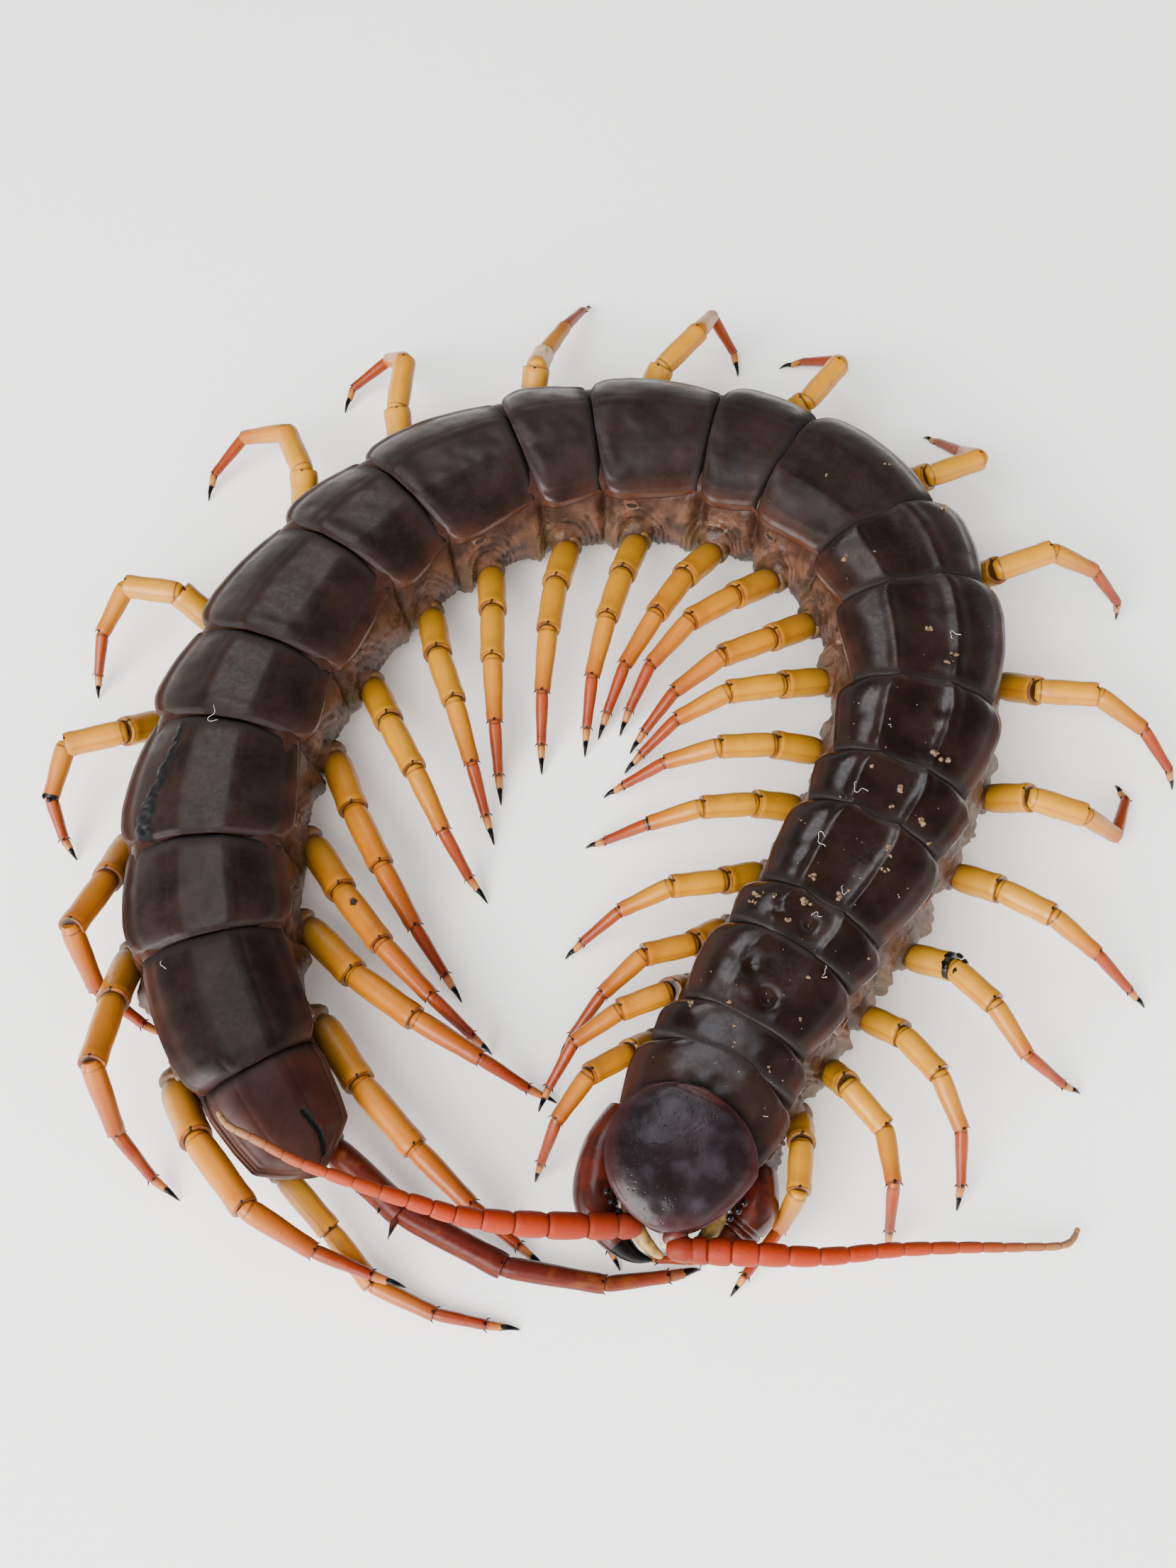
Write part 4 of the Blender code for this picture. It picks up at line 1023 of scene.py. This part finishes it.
def leg(side, n):
    """One leg's rods as a piece, and its black and brown parts for the joined pieces."""
    joints = leg_joints(side, n)
    girth = leg_girth(side, n)
    way = coxa_way(side, n)
    healed_rod, size = HEALED.get((side, n), (None, 0.0))
    spot_rod, spot = SPOTS.get((side, n), (None, None))
    rods, black = [], []
    for k in range(4):
        start = joints[k] + (way * 0.1 if k == 0 else 0)
        end_radius = girth[k + 1] * (1.07 if k < 3 else 1.0)
        rods.append(rod(
            start, joints[k + 1], girth[k] * 0.97, end_radius, k,
            size if healed_rod == k else 0.0, spot if spot_rod == k else None))
    foot = joints[4] + (joints[5] - joints[4]) * 0.46
    rods.append(rod(joints[4], foot, girth[4] * 0.98, girth[5] * 1.1, 4))
    for part in rods:
        part["marks"]["flush"] = np.full(len(part["points"]), flush_of(side, n))
    claw_root = foot - (joints[5] - joints[4]) * 0.03
    black.append(claw(claw_root, joints[5] + np.array([0, 0, 0.03]), girth[5] * 0.98))
    for k in (3, 4):
        along = unit(joints[k] - joints[k - 1])
        across = unit(np.cross(along, [0.0, 0.0, 1.0]))
        for hand in (1, -1):
            root = joints[k] + across * hand * girth[k] * 0.8 - along * 0.12
            black.append(claw(root, root + unit(across * hand + along * 1.3) * 0.42, 0.06, 8))
    if size > 0.4:
        healed_joint = joints[healed_rod + 1]
        for k in range(5):
            lump_way = unit(np.array([np.cos(k * 2.4), np.sin(k * 2.4), 0.9]))
            lump = healed_joint + lump_way * girth[healed_rod + 1]
            black.append(bead(lump, unit(lump - healed_joint), 0.34 * size + 0.08, 12, 0.6, 0.4, k))
    collar = shell([hoop(joints[0] - way * back, way, girth[0] * grow, 24)[0] for back, grow in COLLAR])
    name = f"{'l' if side == LEFT else 'r'}_{n:02d}"
    last_right = (side, n) == (RIGHT, LAST)
    piece(f"leg_rods_{name}", rods, hind_finish if last_right else leg_finish,
          [f"leg_{name}"])
    return black, collar


blacks, collars = zip(*[leg(side, n) for n in range(1, LAST + 1) for side in (LEFT, RIGHT)])
piece("leg_claws", [part for black in blacks for part in black], claw_finish)
piece("leg_collars", collars, collar_finish)
print("legs:", len(collars))

# %% [markdown]
# ## Spines of the last right leg
#
# The last pair of legs is held out behind and used to feel and to pinch. The right one carries a row of
# short spines on the inner side of its first rod, red at the root and black at the point, and a strong
# spine at its end.

# %% Spines
SPINES = ((0.46, 0.5, 0.8), (0.60, 0.2, 0.35), (0.76, 0.5, 0.85), (0.82, 0.1, 0.35), (0.96, 0.4, 1.9))
SPINE_LEAN = 0.55
SPINE_RADIUS = 0.32
SPINE_STOPS = ((0.0, "#4c1d16"), (1.0, "#050404"), (0.45, "#3c1510"), (0.62, "#140a08"))


def spine(root, way, length, radius):
    """A short spine with a broad root."""
    rings = []
    for share in np.linspace(-0.3, 1.0, 10):
        width = radius * (1 - max(share, 0.0)) ** 1.2 + 0.015
        rings.append(hoop(root + way * length * share, way, width, 12)[0])
    return shell(rings, along=np.linspace(0, 4.9, 10)[:, None], scar=FAR, joint=FAR, dot=FAR)


thigh = leg_joints(RIGHT, LAST)
thigh_way = unit(thigh[1] - thigh[0])
inner_way = unit(np.cross(thigh_way, [0.0, 0.0, 1.0]))
spines = []
for share, rise, length in SPINES:
    lean = unit(inner_way + np.array([0, 0, rise]) + thigh_way * SPINE_LEAN)
    root = thigh[0] + (thigh[1] - thigh[0]) * share + lean * 0.95
    spines.append(spine(root, lean, length, SPINE_RADIUS * (1.2 if length > 1 else 0.8)))
piece("hind_spines", spines, thin_leg_horn("spine_horn", SPINE_STOPS, SPINE_STOPS))
print("spines:", len(spines))

# %% [markdown]
# ## Head
#
# The head is a low shield, nearly round, that overlaps the first back plate. It is the same tanned horn as
# the back with more purple in it, cloudy with wax and finely pitted. Below it sits the capsule with four
# bead-like eyes on each side, the feelers' sockets, the palps, and the plate that carries the poison claws.

# %% Head finish
def head_horn():
    """Head horn, clouded with wax, with fine pits and grains of dust."""
    finish, tree, shader = new_finish("waxy_head_horn", 0.27, 1.55, Specular_IOR_Level=0.34)
    cloud = speckle(tree, 3.0, 6.0).outputs["Fac"]
    wax = speckle(tree, 2.2, 6.0).outputs["Fac"]
    grains = soil_grains(tree, 0.5)
    paint_over(
        tree, shader, paint("#0d0708"),
        (amount(tree, (cloud, 0.35, 0.7)), "#170e11"),
        (amount(tree, (wax, 0.45, 0.75, 0.0, 0.30)), "#38333a"),
        (amount(tree, ("edge", 1.5, 0.05, 0.0, 0.6)), "#2f1412"),
        (grains, "#8a7f72"),
    )
    pits = speckle(tree, 0.45, 0.0, "ShaderNodeTexVoronoi").outputs["Distance"]
    tool(tree, shader, (cloud, 0.10), (amount(tree, (pits, 0.05, 0.3)), 0.012), (grains, 0.05))
    return finish


head_finish = head_horn()
HEAD_OUTLINE = (
    (-7.7, 0.6), (-7.55, 1.5), (-7.2, 2.35), (-6.6, 3.3), (-5.8, 4.2), (-4.8, 5.0), (-3.6, 5.6), (-2.3, 5.9),
    (-1.0, 5.75), (0.2, 5.25), (1.2, 4.4), (1.9, 3.5), (2.3, 2.5), (2.55, 1.4), (2.62, 0.6),
)
HEAD_FRONT, HEAD_REAR = -7.7, 2.62
HEAD_TOP = ((-7.7, 7.2), (-7.2, 7.75), (-5.8, 8.6), (-4.4, 9.2), (-2.2, 9.85), (0.0, 10.25), (2.6, 10.5))
HEAD_THICK = 0.5
HEAD_ROWS = 120
HEAD_POINTS = 89


def head_shield():
    """The head plate with its thin rear rim."""
    s = (HEAD_FRONT + (HEAD_REAR - HEAD_FRONT) * (1 - np.cos(np.linspace(0, pi, HEAD_ROWS))) / 2)[:, None]
    half = np.maximum(smooth(HEAD_OUTLINE, s), 0.35)
    v = np.sin(np.linspace(-1, 1, HEAD_POINTS) * pi / 2 * 0.93) / np.sin(pi / 2 * 0.93)
    out = v[None, :] * half
    top = smooth(HEAD_TOP, s) - 1.15 * np.abs(v)[None, :] ** 3 * (half / 5.7)
    inset = np.minimum(half - np.abs(out), np.minimum(s - HEAD_FRONT, HEAD_REAR - s))
    top = top + 0.03 * hill(inset - 0.22, 0.16) - 0.03 * hill(inset - 0.6, 0.2)
    spots = put(s, out, top)
    top = top + 0.08 * lumps(spots, 2.8, 21) + 0.015 * lumps(spots, 0.9, 22)
    brow = 0.09 * hill(s + 6.1, 0.7) * hill(np.abs(out) - 1.1, 0.6)
    notch = 0.12 * hill(s + 7.9, 0.8) * hill(out, 0.5)
    top = top - brow - notch
    under_v = v[::-1] * 0.96
    under = np.stack([np.interp(under_v, v, row) for row in top]) - HEAD_THICK
    lips = np.concatenate([half, half - 0.04], axis=1)
    right_lip = np.stack([top[:, -1] - 0.2, top[:, -1] - 0.4], axis=1)
    left_lip = np.stack([top[:, 0] - 0.4, top[:, 0] - 0.2], axis=1)
    all_out = np.concatenate([out, lips, under_v[None, :] * (half - 0.2), -lips[:, ::-1]], axis=1)
    all_top = np.concatenate([top, right_lip, under, left_lip], axis=1)
    edge = np.concatenate([inset, np.zeros((HEAD_ROWS, all_out.shape[1] - HEAD_POINTS))], axis=1)
    return shell(np.roll(put(s, all_out, all_top), 1, axis=1), edge=np.roll(edge, 1, axis=1))


CAPSULE = ((0.0, 0.0), (0.55, 0.03), (0.84, 0.25), (0.92, 0.55), (0.93, 0.80), (0.6, 0.9), (0.0, 0.95))


def head_capsule():
    """The head under its plate."""
    s = np.linspace(-7.5, -0.2, 50)[:, None]
    half = 0.94 * smooth(HEAD_OUTLINE, s)
    top = smooth(HEAD_TOP, s) - 0.25
    share = ring_of(CAPSULE, 64)[None]
    low = np.interp(s, (-7.5, -6.8, -0.2), (5.7, 4.9, 4.8))
    return shell(put(s, share[..., 0] * half, low + share[..., 1] * (top - low)), edge=0.4)


piece("head_shield", [head_shield(), head_capsule()], head_finish, ["head"])
print("head shield, mm long:", round(HEAD_REAR - HEAD_FRONT, 2))

# %% [markdown]
# Eyes are four small black domes on each side, glossy as wet glass. A dome is a few rings of a half ball.

# %% Eyes
EYES = (
    (-6.2, 4.15, 6.45, 0.28), (-5.6, 4.75, 6.70, 0.28), (-5.0, 5.15, 6.90, 0.28), (-5.5, 4.80, 6.15, 0.25),
)
eye_finish = plain_finish("eye_lens", "#030303", "#08080a", 0.08, 1.0, 0.0)
eyes = []
for side in (LEFT, RIGHT):
    for s, out, z, radius in EYES:
        spot = put(s, side * out, z)
        eyes.append(bead(spot, unit(spot - put(s + 2.0, 0.0, z - 1.0)), radius))
piece("eyes", eyes, eye_finish)
print("eyes:", len(eyes))

# %% [markdown]
# ## Curved limbs of the head
#
# Poison claws, palps and feelers follow a few given places. A curve through them is walked evenly
# and a tube is drawn about it. The poison claws are thick red-brown horn with two short rings and a high
# gloss, and their fangs are black and meet under the front of the head. The clypeus over the mouth is
# red-brown horn too, a little duller. The palps are thin yellowish horn, and the mouth between them is a
# pale soft membrane with hardly any gloss.

# %% Poison claws, their plate and the palps
FANG_ROUTE = (
    (0.6, 5.7, 3.9), (-2.0, 6.1, 4.15), (-4.4, 6.1, 4.1), (-6.0, 5.3, 3.7),
    (-7.3, 4.2, 3.3), (-8.2, 2.9, 2.9), (-8.5, 1.5, 2.6),
)
FANG_GIRTH = ((0.0, 1.45), (0.15, 1.75), (0.33, 1.8), (0.5, 1.55), (0.66, 1.1), (0.83, 0.62), (1.0, 0.08))
FANG_RINGS = (0.47, 0.52, 0.57)
PALP_ROUTE = ((-3.6, 3.0, 5.2), (-5.3, 3.3, 4.9), (-6.8, 2.8, 4.9), (-8.0, 1.8, 4.5), (-8.7, 0.8, 4.0))
PALP_GIRTH = ((0.0, 0.8), (0.25, 0.78), (0.5, 0.68), (0.75, 0.52), (0.95, 0.3), (1.0, 0.1))
LOBE = (
    (-5.4, 1.8, 2.6, 3.6), (-4.7, 2.6, 2.1, 4.3), (-3.4, 3.1, 1.8, 4.6), (-1.9, 3.4, 1.8, 4.65),
    (-1.0, 5.3, 1.8, 4.65), (-0.3, 5.5, 1.8, 4.65),
)
LOBE_SECTION = (
    (0.0, 0.0), (0.5, 0.02), (0.86, 0.22), (0.97, 0.55), (1.0, 0.8), (0.8, 0.93), (0.42, 0.985), (0.0, 1.0),
)
fang_base_finish = plain_finish("red_brown_horn", "#2a0e09", "#481910", 0.26, 1.8, 0.05)
clypeus_finish = plain_finish("clypeus_horn", "#301410", "#4a2018", 0.34, 0.8, 0.03)
palp_finish = plain_finish("palp_horn", "#5c4420", "#84642e", 0.4, 0.8, 0.03)
mouth_finish = plain_finish("mouth_membrane", "#7a6a54", "#a89a84", 0.5, 0.4, 0.06)


def eased(route, share):
    """Point on a smooth curve through the route's bends."""
    route = [np.asarray(p, float) for p in route]
    spans = len(route) - 1
    place = min(share * spans, spans - 0.0001)
    k = int(place)
    u = place - k
    p0, p1, p2 = route[max(k - 1, 0)], route[k], route[k + 1]
    p3 = route[min(k + 2, spans)]
    return 0.5 * (
        2 * p1 + (p2 - p0) * u + (2 * p0 - 5 * p1 + 4 * p2 - p3) * u ** 2
        + (3 * p1 - p0 - 3 * p2 + p3) * u ** 3)


def along_route(route, share):
    """Point and direction on a route."""
    a = eased(route, max(share - 0.01, 0.0))
    b = eased(route, min(share + 0.01, 1.0))
    return eased(route, share), unit(b - a)


def limb(route, girth, low=0.0, high=1.0, rows=60, sides=32, grooves=()):
    """A tube along a route between two shares of it, drawn in at its grooves."""
    rings = []
    for share in np.linspace(low, high, rows):
        spot, way = along_route(route, share)
        radius = float(smooth(girth, share))
        for at in grooves:
            radius *= 1 - 0.10 * hill(share - at, 0.008)
        rings.append(hoop(spot, way, radius, sides)[0])
    return shell(rings)


def head_route(side, route):
    """A route given beside the midline, as points."""
    return [put(s, side * out, z) for s, out, z in route]


def claw_plate():
    """The plate under the head that carries the poison claws."""
    s = np.linspace(LOBE[0][0], LOBE[-1][0], 40)
    share = ring_of(LOBE_SECTION, 60)[None]
    half, low, top = (np.interp(s, [p[0] for p in LOBE], [p[k] for p in LOBE])[:, None] for k in (1, 2, 3))
    return shell(put(s[:, None], share[..., 0] * half, low + share[..., 1] * (top - low)))


for side, name in ((LEFT, "l"), (RIGHT, "r")):
    route = head_route(side, FANG_ROUTE)
    base = limb(route, FANG_GIRTH, 0.0, 0.68, 90, 40, FANG_RINGS)
    piece(f"poison_claw_base_{name}", [base], fang_base_finish, [f"forcipule_{name}"])
    fang = limb(route, FANG_GIRTH, 0.655, 1.0, 40, 32)
    piece(f"poison_fang_{name}", [fang], claw_finish)
palps = [limb(head_route(side, PALP_ROUTE), PALP_GIRTH, grooves=(0.35, 0.7)) for side in (LEFT, RIGHT)]
piece("palps", palps, palp_finish)
piece("claw_plate", [claw_plate()], fang_base_finish, ["forcipular_segment"])
forward = unit(np.array([0.1, -1.0, -0.1]))
mouth = [bead(put(-7.5, 0.0, 5.2), forward, 1.1), bead(put(-8.3, 0.1, 4.7), forward, 0.6)]
piece("mouth", mouth, mouth_finish)
piece("clypeus", [bead(put(-7.75, 0.1, 6.0), forward, 1.0, 24, 0.7)], clypeus_finish)
print("palps:", len(palps))

# %% [markdown]
# ## Feelers
#
# A feeler is a string of eighteen beads that slide into each other, orange-red and velvety with very short
# hair, fading to grey-tan at the tip. Each bead is a short rod with a waist at its root. The hair takes the
# gloss away. The real hairs are finer than a quarter of a millimetre, which is as fine as the render shows.

# %% Feelers
ANTENNA_ARTICLES = 18
ANTENNA_GIRTH = ((0.0, 1.02), (0.12, 1.0), (0.3, 0.68), (0.5, 0.5), (0.7, 0.36), (0.9, 0.26), (1.0, 0.2))
ROUTE_LEFT = (
    (7.7, -44.7, 6.2), (11.6, -45.0, 6.4), (17.4, -45.0, 5.6), (23.0, -44.1, 4.3),
    (28.6, -43.5, 3.0), (33.2, -43.2, 2.1), (36.8, -42.8, 1.5), (38.0, -41.5, 1.3),
)
ROUTE_RIGHT = (
    (2.2, -42.9, 6.3), (-3.6, -43.3, 7.8), (-8.8, -43.2, 9.2), (-12.6, -42.5, 10.4), (-17.0, -41.4, 11.6),
    (-21.1, -40.0, 12.0), (-24.1, -38.5, 12.2), (-26.5, -37.2, 12.0), (-27.4, -36.1, 11.8),
)
FEELER_STOPS = (
    (0.0, "#5c1804"), (1.0, "#74583c"), (0.12, "#761e02"), (0.35, "#7c2202"),
    (0.58, "#782c0c"), (0.7, "#743c1e"), (0.84, "#725236"),
)
BEAD = ((0.0, 0.70), (0.06, 0.84), (0.2, 0.97), (0.5, 1.03), (0.85, 1.03), (0.96, 0.98), (1.0, 0.9))
BEAD_SHARES = np.linspace(0, 1, 18)
FEELER_SIDES = 28
BEAD_LENGTH = 1.9
SOCKET = ((-1.9, 0.3), (-1.75, 0.6), (-1.4, 0.84), (-0.9, 0.96), (-0.4, 1.0), (0.1, 0.8))


def velvety_feeler_horn():
    """Feeler horn, coloured along its length, with short hair and a line at each joint."""
    finish, tree, shader = new_finish("velvety_feeler_horn", 0.5, 1.5, Specular_IOR_Level=0.22)
    place = amount(tree, ("along",))
    colour = add(tree, "ShaderNodeValToRGB", {"Fac": place}, FEELER_STOPS).outputs["Color"]
    hair = speckle(tree, 0.25, 5.0).outputs["Fac"]
    paint_over(
        tree, shader, colour,
        (amount(tree, (hair, 0.45, 0.75, 0.0, 0.4)), "#5c2014"),
        (amount(tree, ("joint", 0.10, 0.0, 0.0, 0.6)), "#4a160c"),
    )
    tool(tree, shader, (hair, 0.03))
    return finish


feeler_finish = velvety_feeler_horn()


def feeler(side):
    """The beads of one feeler and its socket."""
    route = ROUTE_LEFT if side == LEFT else ROUTE_RIGHT
    beads = []
    for k in range(ANTENNA_ARTICLES):
        rings = []
        for u in BEAD_SHARES:
            share = min((k + u * 1.02) / ANTENNA_ARTICLES, 1.0)
            spot, way = along_route(route, share)
            radius = float(read(ANTENNA_GIRTH, share)) * float(smooth(BEAD, u))
            rings.append(hoop(spot, way, radius, FEELER_SIDES)[0])
        near = np.minimum(BEAD_SHARES, 1 - BEAD_SHARES) * BEAD_LENGTH
        beads.append(shell(rings, along=((k + BEAD_SHARES) / ANTENNA_ARTICLES)[:, None], joint=near[:, None]))
    start, way = along_route(route, 0.0)
    socket = [hoop(start + way * at, way, radius, FEELER_SIDES)[0] for at, radius in SOCKET]
    beads.append(shell(socket, along=0.0, joint=FAR))
    return beads


for side, name in ((LEFT, "l"), (RIGHT, "r")):
    piece(f"feeler_{name}", feeler(side), feeler_finish, [f"antenna_{name}"])
print("feelers made")

# %% [markdown]
# ## Stage, light and camera
#
# The animal lies on a plain white half-matt floor under soft studio light. Two broad lamps stand low in
# front, the left one stronger. They light but are not mirrored, as no real lamp could be, because dark
# polished horn would turn grey all over with two bright squares in it. What it mirrors comes from three
# small lamps: a glint in front on the left for the slopes and legs, a skylight over the head, and a window
# behind for the flat backs of the tail. The air is bright near the floor and dim overhead for the same
# reason. The camera stands over the open side of the horseshoe and looks down at 58 degrees.

# %% Floor and lights
FLOOR_REACH = 1.5


def stage_floor():
    """A wide floor under the animal."""
    finish, _, shader = new_finish("white_floor", 0.5, 1.45)
    shader.inputs["Base Color"].default_value = paint("#f8f7f5")
    mesh = bpy.data.meshes.new("floor")
    corners = [(x * FLOOR_REACH, y * FLOOR_REACH, 0) for x, y in ((-1, -1), (1, -1), (1, 1), (-1, 1))]
    mesh.from_pydata(corners, [], [(0, 1, 2, 3)])
    mesh.materials.append(finish)
    made = bpy.data.objects.new("floor", mesh)
    bpy.context.scene.collection.objects.link(made)


def lamp(name, place, size, power, tint, mirrored=True):
    """A soft square lamp aimed at the animal."""
    data = bpy.data.lights.new(name, "AREA")
    data.size = size
    data.energy = power
    data.color = tint
    made = bpy.data.objects.new(name, data)
    made.location = place
    made.rotation_euler = (-made.location).to_track_quat("-Z", "Y").to_euler()
    made.visible_glossy = mirrored
    bpy.context.scene.collection.objects.link(made)


def studio_air():
    """Light from all round, bright near the floor and dim overhead."""
    world = bpy.data.worlds.new("studio")
    world.use_nodes = True
    tree = world.node_tree
    way = add(tree, "ShaderNodeSeparateXYZ", {0: add(tree, "ShaderNodeTexCoord").outputs["Generated"]})
    strength = amount(tree, (way.outputs["Z"], 0.1, 0.7, 1.5, 0.15), (way.outputs["Y"], -0.3, 0.5, 1.0, 0.4))
    tree.links.new(strength, tree.nodes["Background"].inputs["Strength"])
    tree.nodes["Background"].inputs["Color"].default_value = paint("#f4f4f5")
    bpy.context.scene.world = world


stage_floor()
lamp("broad_left", (-0.50, -0.68, 0.52), 1.2, 52.0, (1.0, 0.99, 0.97), mirrored=False)
lamp("broad_right", (0.76, -0.64, 0.46), 1.2, 17.0, (1.0, 0.99, 0.98), mirrored=False)
lamp("glint", (-0.50, -0.66, 0.42), 0.60, 11.0, (1.0, 0.99, 0.98))
lamp("window", (-0.13, 0.31, 0.45), 0.16, 0.30, (0.92, 0.96, 1.0))
lamp("skylight", (-0.075, 0.05, 0.45), 0.17, 0.27, (0.86, 0.92, 1.0))
studio_air()
print("floor and lamps set, floor of", 2 * FLOOR_REACH, "m")

# %% Camera
CAMERA_TILT = 57.944
CAMERA_FAR = 160.02
SENSOR = 36.0
LENS = 40.54
NEAREST = 0.005
camera_data = bpy.data.cameras.new("camera")
camera_data.sensor_width = SENSOR
camera_data.lens = LENS
camera_data.clip_start = NEAREST
camera = bpy.data.objects.new("camera", camera_data)
back, up = np.cos(radians(CAMERA_TILT)), np.sin(radians(CAMERA_TILT))
camera.location = (np.array([0.0, -CAMERA_FAR * back, CAMERA_FAR * up]) + SHIFT) * MM
camera.rotation_euler = (radians(90 - CAMERA_TILT), 0.0, 0.0)
bpy.context.scene.collection.objects.link(camera)
bpy.context.scene.camera = camera
print("camera, mm from the animal:", CAMERA_FAR)
